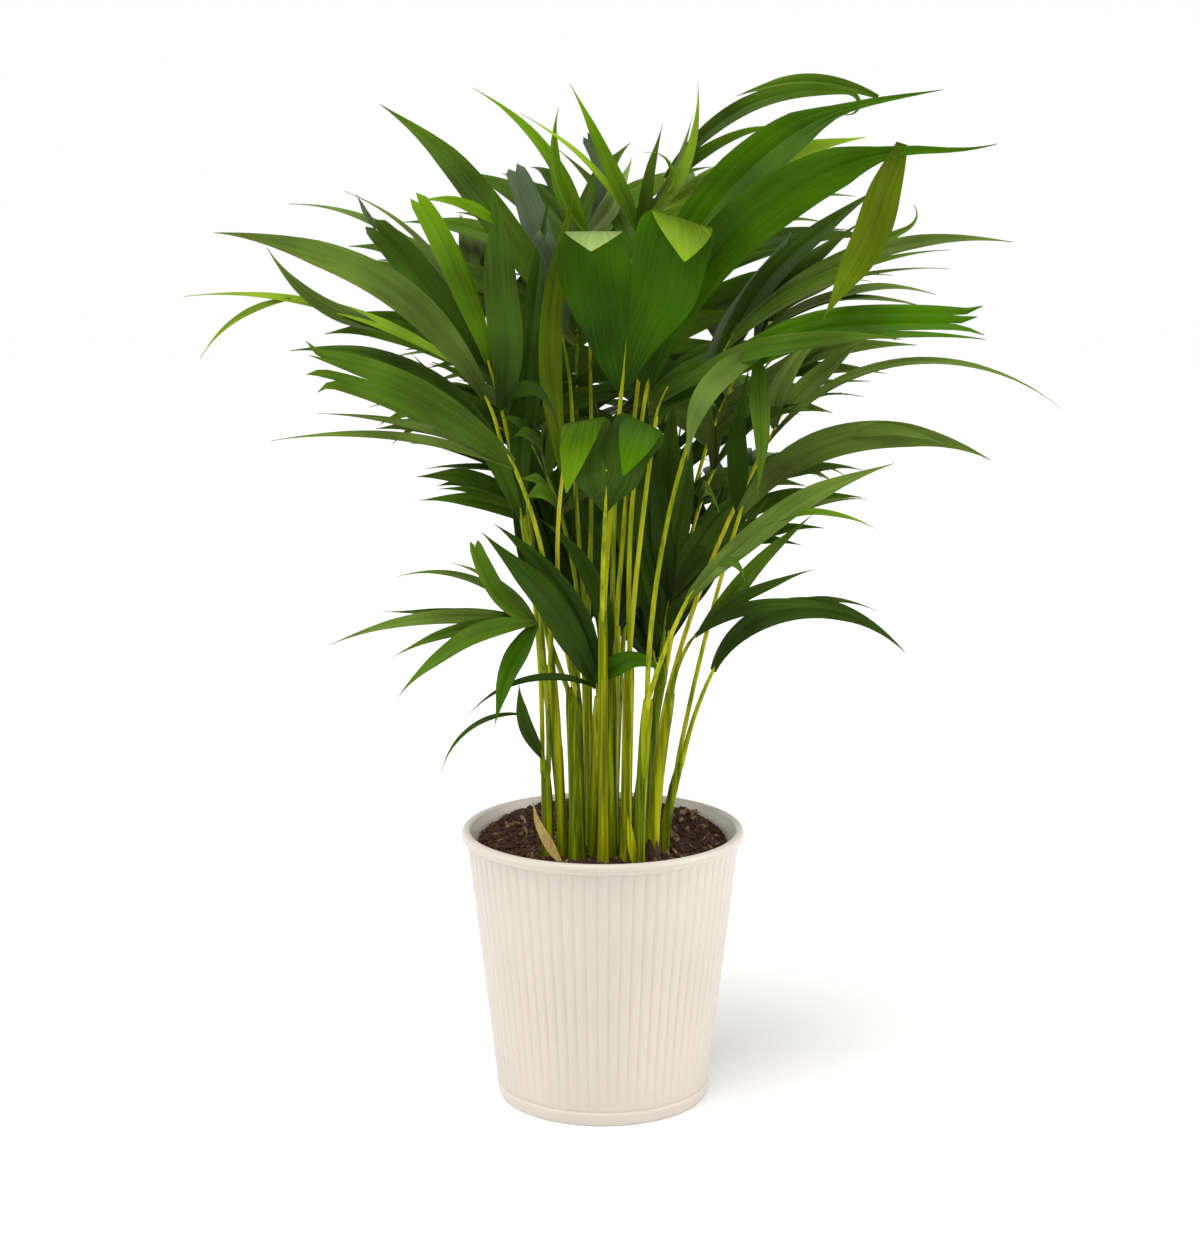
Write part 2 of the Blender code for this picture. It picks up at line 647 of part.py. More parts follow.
def join_frond(name, points, leaves):
    """One solid of a stalk and its leaflets."""
    frond = node(name, stalk_mesh(points), "leaf")
    if not leaves:
        return frond
    loose = bpy.data.collections.new(name + "_leaflets")
    bpy.context.scene.collection.children.link(loose)
    for index, leaf in enumerate(leaves):
        node(f"{name}_leaflet_{index}", blade(leaf), "leaf", loose)
    union = frond.modifiers.new("Union", "BOOLEAN")
    union.operation = "UNION"
    union.operand_type = "COLLECTION"
    union.collection = loose
    union.solver = "MANIFOLD"
    bpy.context.view_layer.objects.active = frond
    bpy.ops.object.modifier_apply(modifier=union.name)
    for leaflet in list(loose.objects):
        bpy.data.objects.remove(leaflet)
    bpy.data.collections.remove(loose)
    return frond


def turned(outline, steps):
    """A mesh turned from an outline of (radius, height) that runs from the axis back to it."""
    mesh = bmesh.new()
    corners = [mesh.verts.new((radius * MM, 0, height * MM)) for radius, height in outline]
    edges = [mesh.edges.new(pair) for pair in zip(corners, corners[1:])]
    bmesh.ops.spin(
        mesh, geom=corners + edges, cent=(0, 0, 0), axis=(0, 0, 1), dvec=(0, 0, 0),
        angle=2 * math.pi, steps=steps, use_merge=True,
    )
    bmesh.ops.remove_doubles(mesh, verts=mesh.verts, dist=SAME_PLACE * MM)
    bmesh.ops.recalc_face_normals(mesh, faces=mesh.faces)
    return mesh


def make_pot():
    """The tapered pot: a base bead, a fluted wall and a rolled rim that narrows to the soil."""
    neck = POT_HEIGHT - RIM_DEPTH
    wall_foot = POT_FOOT_RADIUS + (POT_NECK_RADIUS - POT_FOOT_RADIUS) * BASE_BEAD_HEIGHT / neck
    mesh = turned((
        (0, 0),
        (POT_FOOT_RADIUS, 0),
        (BASE_BEAD_RADIUS, BASE_BEAD_HEIGHT - BASE_BEAD_SLOPE),
        (wall_foot, BASE_BEAD_HEIGHT),
        (POT_NECK_RADIUS, neck),
        (RIM_RADIUS, neck + RIM_SLOPE),
        (RIM_RADIUS - RIM_ROUND, POT_HEIGHT),
        (RIM_RADIUS - RIM_ROUND - RIM_TOP_WIDTH, POT_HEIGHT),
        (INNER_NECK_RADIUS, SOIL_LEVEL),
        (POT_FOOT_RADIUS - POT_WALL, POT_FLOOR),
        (0, POT_FLOOR),
    ), 2 * FLUTES)
    for corner in mesh.verts:
        on_wall = min(abs(corner.co.z / MM - height) for height in (BASE_BEAD_HEIGHT, neck)) < SAME_PLACE
        column = round(math.atan2(corner.co.y, corner.co.x) / (math.pi / FLUTES))
        if on_wall and column % 2:
            corner.co.xy -= corner.co.xy.normalized() * FLUTE_DEPTH * MM
    node("pot", mesh, "pot")


def make_soil():
    """The soil that fills the pot, with a level top that the canes stand on."""
    inside = POT_FOOT_RADIUS - POT_WALL - GAP
    mesh = turned((
        (0, POT_FLOOR + GAP),
        (inside, POT_FLOOR + GAP),
        (SOIL_RADIUS, SOIL_EDGE),
        (SOIL_FLAT_RADIUS, SOIL_LEVEL),
        (0, SOIL_LEVEL),
    ), SOIL_SIDES)
    node("soil", mesh, "soil")


def grow_plant():
    """Every cane and frond, the ones in front first. Returns the canes' rows and the grown fronds."""
    space = Space()
    for name, row in CANES.items():
        cane = tube(cane_points(row), cane_widths(row), CANE_SIDES, (0, CANE_RINGS - 1))
        space.add(name, tree_of(cane))
    space.add("pot", tree_of(turned(((0, SOIL_LEVEL), (RIM_RADIUS, SOIL_LEVEL), (RIM_RADIUS, POT_HEIGHT)), SOIL_SIDES)))
    husk = blade(husk_leaf())
    space.add("husk", tree_of(husk))
    rows = {**PLACED_FRONDS, **RULED_FRONDS, **CORE_FRONDS}
    feet = {}
    for cane, row in CANES.items():
        top = cane_points(row)[-1] + Vector((0, 0, GAP))
        own = {name: frond for name, frond in rows.items() if frond[0] == cane}
        feet.update({name: top + seat for name, seat in seats(cane, own).items()} if own else {})
    return {name: grow_frond(name, row, feet[name], space) for name, row in rows.items()}


def husk_leaf():
    """The dry scale leaf that stands in the soil by the left canes."""
    right, away, angle, lean, length, width = HUSK
    root = Vector((right, away, SOIL_LEVEL + GAP))
    leaf = {
        "ways": (direction(angle, lean), direction(angle - HUSK_CURL, lean)),
        "length": length, "width": width, "shape": "lance", "facing": FRONT_FACING,
        "push": Vector((0, 1, 0)), "twist": 0, "rings": LEAF_RINGS,
    }
    return grown_leaf(leaf, root, 0, 0, 1)


def main():
    for old in list(bpy.data.objects):
        bpy.data.objects.remove(old)
    make_pot()
    make_soil()
    node("husk", blade(husk_leaf()), "husk")
    for name, row in CANES.items():
        node(name, tube(cane_points(row), cane_widths(row), CANE_SIDES, (0, CANE_RINGS - 1)), "cane")
    for name, (points, leaves) in grow_plant().items():
        join_frond(name, points, leaves)


if __name__ == "__main__":
    main()
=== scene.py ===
"""A young areca palm in a fluted pot: the finish of every surface, for Blender 4.5.

The frame is in metres, +Z up, with its origin at the centre of the pot's flat underside, and the front
of the plant faces -Y. The growth rule works in millimetres and degrees, as the plant's solids do.
"""

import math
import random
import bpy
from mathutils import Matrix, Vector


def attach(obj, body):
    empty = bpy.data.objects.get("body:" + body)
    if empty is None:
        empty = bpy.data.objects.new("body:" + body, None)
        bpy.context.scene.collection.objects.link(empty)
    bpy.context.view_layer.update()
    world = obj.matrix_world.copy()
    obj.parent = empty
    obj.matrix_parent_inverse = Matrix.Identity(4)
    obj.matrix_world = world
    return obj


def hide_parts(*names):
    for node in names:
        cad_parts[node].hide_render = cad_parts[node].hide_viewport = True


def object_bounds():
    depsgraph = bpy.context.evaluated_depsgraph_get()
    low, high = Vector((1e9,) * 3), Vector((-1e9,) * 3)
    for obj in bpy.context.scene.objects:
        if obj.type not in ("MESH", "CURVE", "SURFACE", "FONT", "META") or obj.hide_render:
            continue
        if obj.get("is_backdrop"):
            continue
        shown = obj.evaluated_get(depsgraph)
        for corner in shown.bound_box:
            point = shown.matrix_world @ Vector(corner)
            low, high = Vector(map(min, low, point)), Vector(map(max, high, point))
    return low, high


bl_info = {
    "name": "Potted areca palm",
    "version": (1, 0, 0),
    "blender": (4, 5, 0),
    "location": "3D View > Sidebar > Palm",
    "description": "Pot, soil, canes, stalks and leaflets of a young areca palm",
    "category": "Add Mesh",
}

from functools import lru_cache

import bmesh
import bpy
import numpy as np
from bpy.props import FloatProperty, FloatVectorProperty, IntProperty, PointerProperty
from mathutils import Matrix, Quaternion, Vector, noise
from mathutils.bvhtree import BVHTree

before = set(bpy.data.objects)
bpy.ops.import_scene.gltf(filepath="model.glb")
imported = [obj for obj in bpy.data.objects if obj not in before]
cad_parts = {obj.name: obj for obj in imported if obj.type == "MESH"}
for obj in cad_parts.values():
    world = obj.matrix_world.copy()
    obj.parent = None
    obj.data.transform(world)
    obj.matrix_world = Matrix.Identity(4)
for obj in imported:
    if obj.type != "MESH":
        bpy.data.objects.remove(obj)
CAD_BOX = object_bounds()

MM = 0.001
GAP = 0.3
SEED = 20

# Pot and soil
POT_HEIGHT = 188.0
POT_FOOT_RADIUS = 71.6
POT_NECK_RADIUS = 93.0
POT_WALL = 3.2
POT_FLOOR = 4.0
RIM_RADIUS = 96.2
RIM_DEPTH = 7.0
INNER_NECK_RADIUS = 85.8
BASE_BEAD_RADIUS = 73.5
BASE_BEAD_HEIGHT = 12.0
FLUTES = 72
SAME_PLACE = 0.0001
SOIL_LEVEL = 180.0
SOIL_RADIUS = 85.2
SOIL_SIDES = 36

# Dry scale leaf: foot right, foot away, direction, away, length, width
HUSK = (-27.5, -63, 131, 10, 46, 7)
HUSK_CURL = 32

# Leaflets, stalks and canes, as the plant's solids have them
LEAF_STEPS = 24
LEAF_RINGS = (0, 4, 10, 16, 22)
FAR_LEAF_RINGS = (0, 7, 15, 22)
LEAF_THICKNESS = 0.0125
THINNEST_LEAF = 1.0
MOST_TWIST = 16.0
FRONT_FACING = Vector((0, -0.8, 0.6))
HEAD_ON = 0.2
KEEL_SHARE = 0.45
STALK_STEPS = 24
STALK_RINGS = (0, 4, 8, 12, 16, 20, 24)
STALK_SIDES = 4
CANE_SIDES = 8
CANE_RINGS = 5
CANE_FLARE = 1.22
CANE_BOW = 0.15
CLEARANCE = 0.4
STALK_WIDTH = 3.2
RIB_TIP_WIDTH = 1.6

CANES = {
    # name: foot right, foot away, foot width, tip width, direction, away, height
    "cane_left_outer": (-36, -46, 8.0, 8.0, 92, 0, 58),
    "cane_left_inner": (-27, -47, 6.4, 7.0, 93, 0, 130),
    "cane_left_thick": (-17, -55, 10.0, 9.0, 92, 2, 115),
    "cane_left_slim": (-9, -24, 5.0, 8.0, 91, 2, 142),
    "cane_middle_short": (-7, -46, 6.0, 7.0, 88, -4, 110),
    "cane_front": (0, -66, 6.2, 7.0, 90, 0, 168),
    "cane_middle": (6, -52, 6.0, 7.0, 90, 3, 146),
    "cane_middle_thick": (15, -58, 7.4, 8.0, 89, 3, 134),
    "cane_right_front": (23, -66, 7.0, 8.5, 87, -3, 112),
    "cane_right_brown": (32, -53, 8.4, 8.5, 84, 0, 112),
    "cane_right_outer": (40, -41, 6.6, 7.0, 80, 0, 62),
    "cane_back_left": (-27, -14, 7.0, 8.0, 96, 6, 120),
    "cane_back_low": (-12, 4, 6.4, 8.0, 94, 10, 105),
    "cane_heart": (6, -28, 7.0, 8.0, 89, 4, 150),
    "cane_back_middle": (7, 2, 7.0, 8.0, 88, 10, 118),
    "cane_back_right": (26, -20, 7.0, 8.0, 83, 6, 124),
    "cane_back_far": (22, 10, 6.6, 8.0, 80, 12, 100),
}

# Each frond: its cane, the directions at the stalk's foot, the blade's foot and the tip, how far it
# leans away, the stalk's and the rib's length, and its leaflets.
# A leaflet: place along the rib, first and last direction, length as seen, width, away, shape.
# An eighth value is the number of an earlier leaflet that this one stands on.
PLACED_FRONDS = {
    "frond_heart": ("cane_front", (87, 84, 87), -2, 142, 84, [
        (0.02, 112, 88, 102, 45, -6, "lobe"),
        (0.02, 68, 74, 114, 49, -6, "lobe"),
        (1.0, 264, 262, 12, 36, -40, "flap", 1),
        (1.0, 274, 270, 26, 36, -40, "flap", 2),
    ]),
    "frond_low_split": ("cane_front", (90, 87, 90), -16, 70, 30, [
        (0.05, 111, 95, 60, 34, -8, "lobe"),
        (0.05, 69, 67, 62, 34, -8, "lobe"),
        (1.0, 250, 262, 45, 27, -25, "flap", 1),
        (1.0, 262, 236, 35, 26, -25, "flap", 2),
    ]),
    "frond_two_lobed": ("cane_middle_thick", (93, 80, 68), 6, 178, 18, [
        (0.1, 88, 0, 299, 34, 8, "blade"),
        (0.1, 75, -1, 287, 34, -12, "blade"),
        (0.0, 118, 150, 120, 18, 25, "lance"),
        (0.8, 254, 238, 117, 23, -6, "strap", 2),
    ]),
    "frond_low_left": ("cane_left_outer", (88, 98, 116), -14, 98, 10, [
        (1.0, 166, 202, 132, 11, -12, "lance"),
        (0.9, 171, 182, 99, 8, 6, "lance"),
        (1.0, 173, 207, 92, 10, -20, "lance"),
        (1.0, 175, 232, 98, 13, -30, "lance"),
        (0.9, 234, 260, 66, 15, -25, "lance"),
        (0.8, 151, 99, 71, 15, -5, "blunt"),
        (0.4, 127, 201, 108, 6, 20, "lance"),
        (0.4, 119, 169, 72, 8, 14, "lance"),
    ]),
    "frond_low_strap": ("cane_middle_short", (95, 95, 100), -30, 6, 6, [
        (0.3, 113, 136, 130, 19, -12, "strap"),
        (0.6, 97, 146, 130, 16, -4, "strap"),
        (0.2, 147, 228, 92, 5, -25, "lance"),
        (0.9, 69, 150, 122, 13, 6, "strap"),
        (1.0, 62, -48, 46, 14, -28, "lance"),
    ]),
    "frond_low_folded": ("cane_left_outer", (96, 100, 106), -10, 8, 8, [
        (0.2, 126, 88, 54, 10, -6, "strap"),
        (0.62, 169, 257, 70, 4, -14, "lance", 1),
    ]),
    "frond_right_fan": ("cane_right_outer", (81, 66, 60), -10, 68, 6, [
        (0.2, 72, -46, 156, 15, -18, "strap"),
        (0.8, 58, -26, 124, 9, 12, "lance"),
    ]),
    "frond_right_fan_top": ("cane_right_brown", (84, 60, 32), -4, 36, 10, [
        (1.0, 52, 41, 107, 12, 4, "lance"),
        (0.8, 48, 16, 88, 10, -12, "lance"),
        (0.6, 47, -19, 118, 9, -25, "lance"),
    ]),
    "frond_right_long": ("cane_right_front", (76, 66, 54), -14, 72, 12, [
        (0.2, 55, 19, 158, 15, -16, "strap"),
        (0.45, 30, -4, 66, 5, 10, "lance", 1),
        (0.45, 34, -30, 70, 5, -25, "lance", 1),
        (0.2, 40, -84, 26, 6, -35, "lance", 1),
    ]),
    "frond_left_low": ("cane_left_inner", (86, 112, 140), -10, 135, 26, [
        (0.2, 135, 168, 144, 27, -22, "ragged"),
        (0.8, 124, 188, 152, 13, 4, "strap"),
        (0.2, 146, 176, 124, 7, -30, "lance"),
        (0.05, 150, 186, 148, 8, -34, "lance"),
    ]),
    "frond_left_broad": ("cane_left_inner", (100, 106, 141), 2, 164, 42, [
        (0.35, 115, 178, 207, 21, -16, "strap"),
        (1.0, 148, 187, 194, 9, 16, "lance"),
        (0.62, 187, 238, 79, 5, 16, "lance", 2),
        (0.25, 175, 121, 102, 13, 10, "lance", 2),
    ]),
    "frond_left_upper": ("cane_left_outer", (89, 103, 112), 3, 236, 58, [
        (0.5, 125, 135, 124, 22, 12, "blunt"),
        (1.0, 116, 181, 161, 9, 22, "lance"),
        (0.6, 103, 122, 118, 17, -14, "blunt"),
        (1.0, 113, 161, 133, 5, 34, "lance"),
        (0.1, 56, -80, 76, 10, -34, "lance"),
        (0.0, 84, 100, 150, 24, -14, "strap"),
        (0.95, 124, 116, 26, 4, 12, "lance", 1),
        (0.82, 138, 186, 52, 9, -8, "lance", 6),
    ]),
    "frond_yellow": ("cane_left_thick", (104, 82, 84), -3, 142, 30, [
        (0.1, 102, 73, 179, 15, 4, "strap"),
    ]),
    "frond_dark_left": ("cane_left_thick", (112, 98, 92), 6, 112, 10, [
        (0.5, 90, 80, 204, 18, 12, "strap"),
        (0.3, 110, 138, 120, 13, 22, "lance"),
    ]),
    "frond_left_tall": ("cane_left_slim", (96, 92, 106), 6, 150, 66, [
        (0.8, 112, 147, 195, 21, 16, "strap"),
        (0.85, 99, 116, 116, 19, 24, "blunt"),
        (0.8, 84, 116, 78, 20, -22, "blunt"),
    ]),
    "frond_top_left": ("cane_left_slim", (87, 91, 91), 10, 150, 118, [
        (0.9, 100, 152, 138, 10, 16, "lance"),
        (1.0, 133, 73, 88, 11, -6, "lance"),
        (1.0, 51, 133, 72, 13, 16, "blunt"),
        (1.0, 46, 73, 58, 14, 4, "lance"),
        (0.4, 120, 140, 130, 16, 20, "lance"),
        (0.4, 66, 48, 120, 16, 24, "lance"),
    ]),
    "frond_top_right": ("cane_middle", (90, 86, 80), 6, 164, 104, [
        (0.9, 82, 75, 77, 9, -4, "lance"),
        (1.0, 41, 95, 106, 8, 22, "lance"),
        (1.0, 51, 77, 80, 6, 30, "lance"),
        (0.95, 112, 118, 106, 11, 8, "lance"),
        (0.3, 38, 188, 47, 5, -10, "lance", 3),
        (0.95, 117, 153, 112, 5, 20, "lance"),
    ]),
    "frond_right_upper": ("cane_heart", (86, 83, 81), 8, 193, 104, [
        (1.0, 56, -19, 172, 12, 10, "strap"),
        (0.9, 57, -4, 103, 9, 16, "lance"),
        (0.8, 27, 10, 150, 24, 24, "strap"),
        (0.95, 156, 203, 97, 10, 4, "strap", 1),
        (0.3, 108, 140, 110, 14, 26, "lance"),
    ]),
    "frond_right_mid": ("cane_right_front", (89, 70, 58), 10, 194, 54, [
        (0.3, 67, 27, 172, 16, 14, "strap"),
        (0.9, 47, 32, 113, 13, 24, "strap"),
        (1.0, 37, 22, 146, 12, 2, "strap"),
        (0.9, 47, -8, 192, 12, -10, "strap"),
        (0.8, 46, 3, 153, 8, -16, "lance"),
        (0.7, 48, -3, 152, 5, -22, "lance"),
        (0.05, 66, 56, 122, 20, 18, "strap"),
    ]),
    "frond_right_level": ("cane_middle_thick", (86, 82, 60), -4, 158, 24, [
        (0.2, 41, -9, 218, 24, -10, "ragged"),
        (0.6, 40, -6, 155, 14, -24, "strap"),
        (0.39, 190, 268, 96, 15, -30, "strap", 1),
        (0.34, 276, 262, 84, 13, -26, "lance", 1),
    ]),
    "frond_right_arch": ("cane_right_brown", (76, 63, 63), 2, 158, 40, [
        (0.4, 56, -40, 211, 6, -6, "lance"),
        (0.7, 100, 21, 82, 14, -18, "lance"),
        (1.0, 49, 30, 74, 14, 14, "lance"),
    ]),
    "frond_right_low": ("cane_right_outer", (80, 74, 60), -4, 172, 16, [
        (0.1, 59, -30, 178, 20, -12, "strap"),
        (0.5, 24, -26, 56, 8, -26, "lance", 1),
        (0.0, 96, 76, 96, 14, 12, "lance"),
    ]),
}

# The fronds of the back and the sides follow a rule: cane, heading of the lean (0 right, 90 back),
# rise of the stalk at its foot, at the blade's foot and at the tip, stalk and rib length,
# pairs of leaflets, the longest leaflet's length and width.
RULED_FRONDS = {
    "frond_back_left": ("cane_back_left", 122, (84, 70, 46), 150, 115, 4, 140, 17),
    "frond_back_left_low": ("cane_back_left", 112, (82, 60, 26), 104, 100, 4, 105, 15),
    "frond_back_low": ("cane_back_low", 100, (80, 54, 18), 95, 120, 4, 130, 15),
    "frond_back_tall": ("cane_back_low", 82, (86, 76, 52), 190, 120, 4, 150, 17),
    "frond_back_high": ("cane_back_middle", 62, (85, 72, 46), 170, 130, 4, 150, 17),
    "frond_back_middle": ("cane_back_middle", 104, (83, 64, 34), 140, 120, 4, 145, 16),
    "frond_back_right": ("cane_back_right", 44, (83, 66, 40), 140, 110, 4, 140, 16),
    "frond_back_right_low": ("cane_back_far", 54, (78, 56, 22), 80, 100, 4, 110, 15),
    "frond_back_far": ("cane_back_far", 84, (80, 58, 24), 110, 120, 4, 135, 15),
    "frond_side_right": ("cane_back_right", 14, (84, 74, 52), 96, 80, 3, 100, 14),
    "frond_side_left": ("cane_left_slim", 156, (86, 74, 52), 76, 80, 3, 95, 14),
}

# The leaflets deep inside the crown, which grow last. Their dark tones are partly painted shade.
CORE_FRONDS = {
    "frond_core_left": ("cane_back_low", (92, 96, 100), 4, 16, 30, [
        (0.0, 116, 106, 120, 22, 6, "strap"),
        (0.3, 104, 98, 150, 24, 12, "strap"),
        (0.5, 88, 90, 160, 24, 2, "strap"),
        (0.2, 70, 80, 140, 22, 8, "strap"),
        (0.7, 108, 112, 120, 20, -4, "strap"),
        (0.8, 76, 66, 120, 20, -2, "strap"),
    ]),
    "frond_core_middle": ("cane_back_middle", (92, 92, 92), 2, 16, 30, [
        (0.0, 120, 106, 130, 22, 8, "strap"),
        (0.3, 98, 94, 150, 24, 14, "strap"),
        (0.5, 82, 84, 160, 24, 2, "strap"),
        (0.2, 64, 76, 140, 22, 8, "strap"),
        (0.7, 104, 112, 120, 20, -4, "strap"),
        (0.8, 72, 62, 120, 20, -2, "strap"),
    ]),
    "frond_core_right": ("cane_back_right", (88, 84, 80), 2, 16, 30, [
        (0.0, 110, 100, 130, 22, 8, "strap"),
        (0.3, 90, 86, 150, 24, 14, "strap"),
        (0.5, 74, 74, 150, 24, 2, "strap"),
        (0.2, 56, 64, 130, 22, 6, "strap"),
        (0.7, 98, 106, 120, 20, -4, "strap"),
        (0.8, 62, 50, 110, 20, -2, "strap"),
    ]),
    "frond_core_low": ("cane_back_far", (98, 100, 100), 4, 14, 30, [
        (0.0, 124, 108, 130, 22, 2, "strap"),
        (0.3, 104, 96, 150, 24, 8, "strap"),
        (0.5, 86, 84, 150, 24, 0, "strap"),
        (0.2, 66, 70, 130, 22, 6, "strap"),
        (0.7, 112, 118, 120, 20, -6, "strap"),
    ]),
}

# How wide a leaflet is at its root, where along it is widest, how full it stays from there and how
# wide its end is.
LEAF_SHAPES = {
    "lance": (0.30, 0.36, 1.3, 0.0),
    "strap": (0.30, 0.42, 2.0, 0.0),
    "blunt": (0.30, 0.50, 2.6, 0.62),
    "ragged": (0.28, 0.55, 2.4, 0.72),
    "lobe": (0.10, 0.92, 2.0, 0.80),
    "blade": (0.30, 0.50, 1.3, 0.0),
    "flap": (1.00, 0.00, 1.0, 0.0),
}

# Where a leaflet that would touch something is tried next: degrees further away, degrees of twist
# and share of its length.
LEAF_TRIES = (
    (0, 0, 1.0), (5, 0, 1.0), (-5, 0, 1.0), (0, 20, 1.0), (0, -20, 1.0), (10, 0, 1.0), (-10, 0, 1.0),
    (5, 25, 1.0), (-5, -25, 1.0), (15, 0, 1.0), (-15, 0, 1.0), (10, 35, 1.0), (-10, -35, 1.0),
    (20, 15, 1.0), (-20, -15, 1.0), (0, 0, 0.85), (8, 0, 0.85), (-8, 0, 0.85), (0, 40, 0.85),
    (26, 0, 1.0), (-26, 0, 1.0), (0, 0, 0.7), (12, 0, 0.7), (-12, 0, 0.7), (0, 0, 0.55),
)
STALK_TRIES = (0, 2, -2, 4, -4, 6, -6, 8, -8, 11, -11, 14, -14, 18, -18)

# The rule of the back's leaflets: the first pair's place in steps between pairs, degrees from the rib
# at its foot and how much less at its tip, lift over the rib, droop, the tip's rise from which the
# droop gets less and the one at which it ends, and shares of the longest and widest leaflet.
FIRST_PAIR = 0.3
SPLAY = 60
SPLAY_CLOSING = 42
SPLAY_SPREAD = 7
LIFTS = (12, 26)
DROOPS = (38, 66)
FULL_DROOP_RISE = 45
NO_DROOP_RISE = 95
END_PAIR_LENGTH = 0.78
MIDDLE_PAIR_LENGTH = 0.3
LENGTHS = (0.88, 1.08)
WIDTHS = (0.8, 1.1)
LANCES_FROM = 0.9

# The tone of each placed frond's leaflets, in the order of its rows. The greyish tone of a few leaflets is an
# underside colour with a painted sheen on it.
FROND_TONES = {
    "frond_heart": ("heart", "heart", "pale", "lime"),
    "frond_low_split": ("dark", "dark", "bright", "fresh"),
    "frond_two_lobed": ("fresh", "fresh", "mid", "new"),
    "frond_low_left": ("olive", "dark", "mid", "mid", "fresh", "mid", "olive", "olive"),
    "frond_low_strap": ("deep", "deep", "deep", "deep", "fresh"),
    "frond_low_folded": ("dark", "dark"),
    "frond_right_fan": ("dark", "dark"),
    "frond_right_fan_top": ("mid", "dark", "dark"),
    "frond_right_long": ("olive", "olive", "bright", "mid"),
    "frond_left_low": ("mid", "dark", "olive", "olive"),
    "frond_left_broad": ("olive", "lime", "lime", "olive"),
    "frond_left_upper": ("dark", "olive", "bright", "olive", "deep", "dark", "underside_and_sheen", "bright"),
    "frond_yellow": ("new",),
    "frond_dark_left": ("deep", "dark"),
    "frond_left_tall": ("mid", "underside_and_sheen", "underside_and_sheen"),
    "frond_top_left": ("bright", "bright", "underside_and_sheen", "pale", "mid", "mid"),
    "frond_top_right": ("mid", "lime", "olive", "bright", "lime", "lime"),
    "frond_right_upper": ("mid", "bright", "lime", "mid", "mid"),
    "frond_right_mid": ("dark", "dark", "mid", "olive", "mid", "olive", "underside_and_sheen"),
    "frond_right_level": ("fresh", "mid", "olive", "mid"),
    "frond_right_arch": ("olive", "olive", "olive"),
    "frond_right_low": ("olive", "olive", "deep"),
}
RULED_TONES = ("dark", "dark", "mid", "dark", "mid", "olive")
# The dark tones of the leaflets inside the crown, partly painted shade
CORE_SHADE_TONES = ("deep", "deep", "dark")

# A stalk's tone: golden where the leaf is new; lime is painted light, for stalks where light falls on them;
# green is painted shade, for stalks inside the clump
GOLDEN_STALKS = ("frond_yellow", "frond_right_arch")
LIT_STALKS = (
    "frond_heart", "frond_low_split", "frond_two_lobed", "frond_left_broad", "frond_left_upper",
    "frond_left_low", "frond_right_level", "frond_right_low", "frond_right_fan", "frond_right_long",
    "frond_right_mid", "frond_right_upper", "frond_side_right", "frond_back_right",
)

# Finer forms of the leaflets, in millimetres and shares
STRIP_WIDTH = 9.0
RAGGED_STRIP_WIDTH = 6.5
SINGLE_STRIP_SPANS = 6
STRIP_SPANS = 3
BLADE_THICKNESS = 0.38
NARROWEST_HALF = 0.12
FLAT_LOBE = 0.4
LOBE_LEAVES_RIB = 0.9
LOBE_LOOSENING = 0.25
CURL_EASE = 1.3
FLAP_END = 0.985

# Where a blade narrows to its drip tip: from this share of its length, over this share, by this much
TIP_NARROWINGS = {"lance": (0.7, 0.27, 0.5), "strap": (0.7, 0.27, 0.5), "blade": (0.66, 0.11, 0.62)}

# Where the strips of a split blade part, how far they reach and how far they spread
RAGGED_SPLITS = (0.86, 0.93)
RAGGED_REACHES = (0.94, 1.0)
RAGGED_SPREADS = (0.6, 1.5)
DEEPEST_SPLIT = 0.70
BLUNT_SPLITS = (0.93, 0.96)
BLUNT_REACHES = (0.98, 1.0)
EDGE_SPLIT_CHANCE = 0.45
EDGE_SPLITS = (0.66, 0.82)
EDGE_REACHES = (0.88, 0.96)
EDGE_SPREAD = 0.25
STRIP_END_NARROWING = 0.97
STRIP_END_EASE = 1.7
STRIP_LIFTS = (-0.04, 0.02)
FOLDS = (0.6, 1.3)
PATTERN_SHIFT = 500

# The narrower neighbour of a leaflet: its share of the width, degrees to the side, steps along the rib,
# and the ends of its degrees away, its twist and its share of the length
BESIDE_SHARE = 0.72
BESIDE_TURNS = (6, 10)
BESIDE_PLACE = 0.05
BESIDE_CHANGES = ((-5, -1), (-12, 12), (0.78, 0.93))

MIDRIB_WIDTH = 0.6
MIDRIB_TAPER = 0.8
MIDRIB_RISE = 0.30
RIBBED_FRONDS = ("frond_yellow",)
CURL_STEPS = 61
FLAP_COLUMNS = 9
FLAP_BULGE = (6, 8)
FLAP_BEND = 0.4
FLAP_ROUNDING = 0.45

# The tip of a young sheath beside the canes: its root, first and last direction, length and width
SHEATH_TIP = ((20.5, -70.5, 181), (96, 100), 36, 6)

# Leaflets whose tip curls, as (frond, number of the leaflet), and for each of its curls the share of
# the length where it starts and its degrees
TIP_CURLS = {
    ("frond_right_upper", 0): ((0.82, -230),),
    ("frond_right_mid", 2): ((0.86, 100),),
    ("frond_two_lobed", 0): ((0.60, -12), (0.80, 24)),
    ("frond_two_lobed", 1): ((0.60, -26), (0.86, 42)),
}

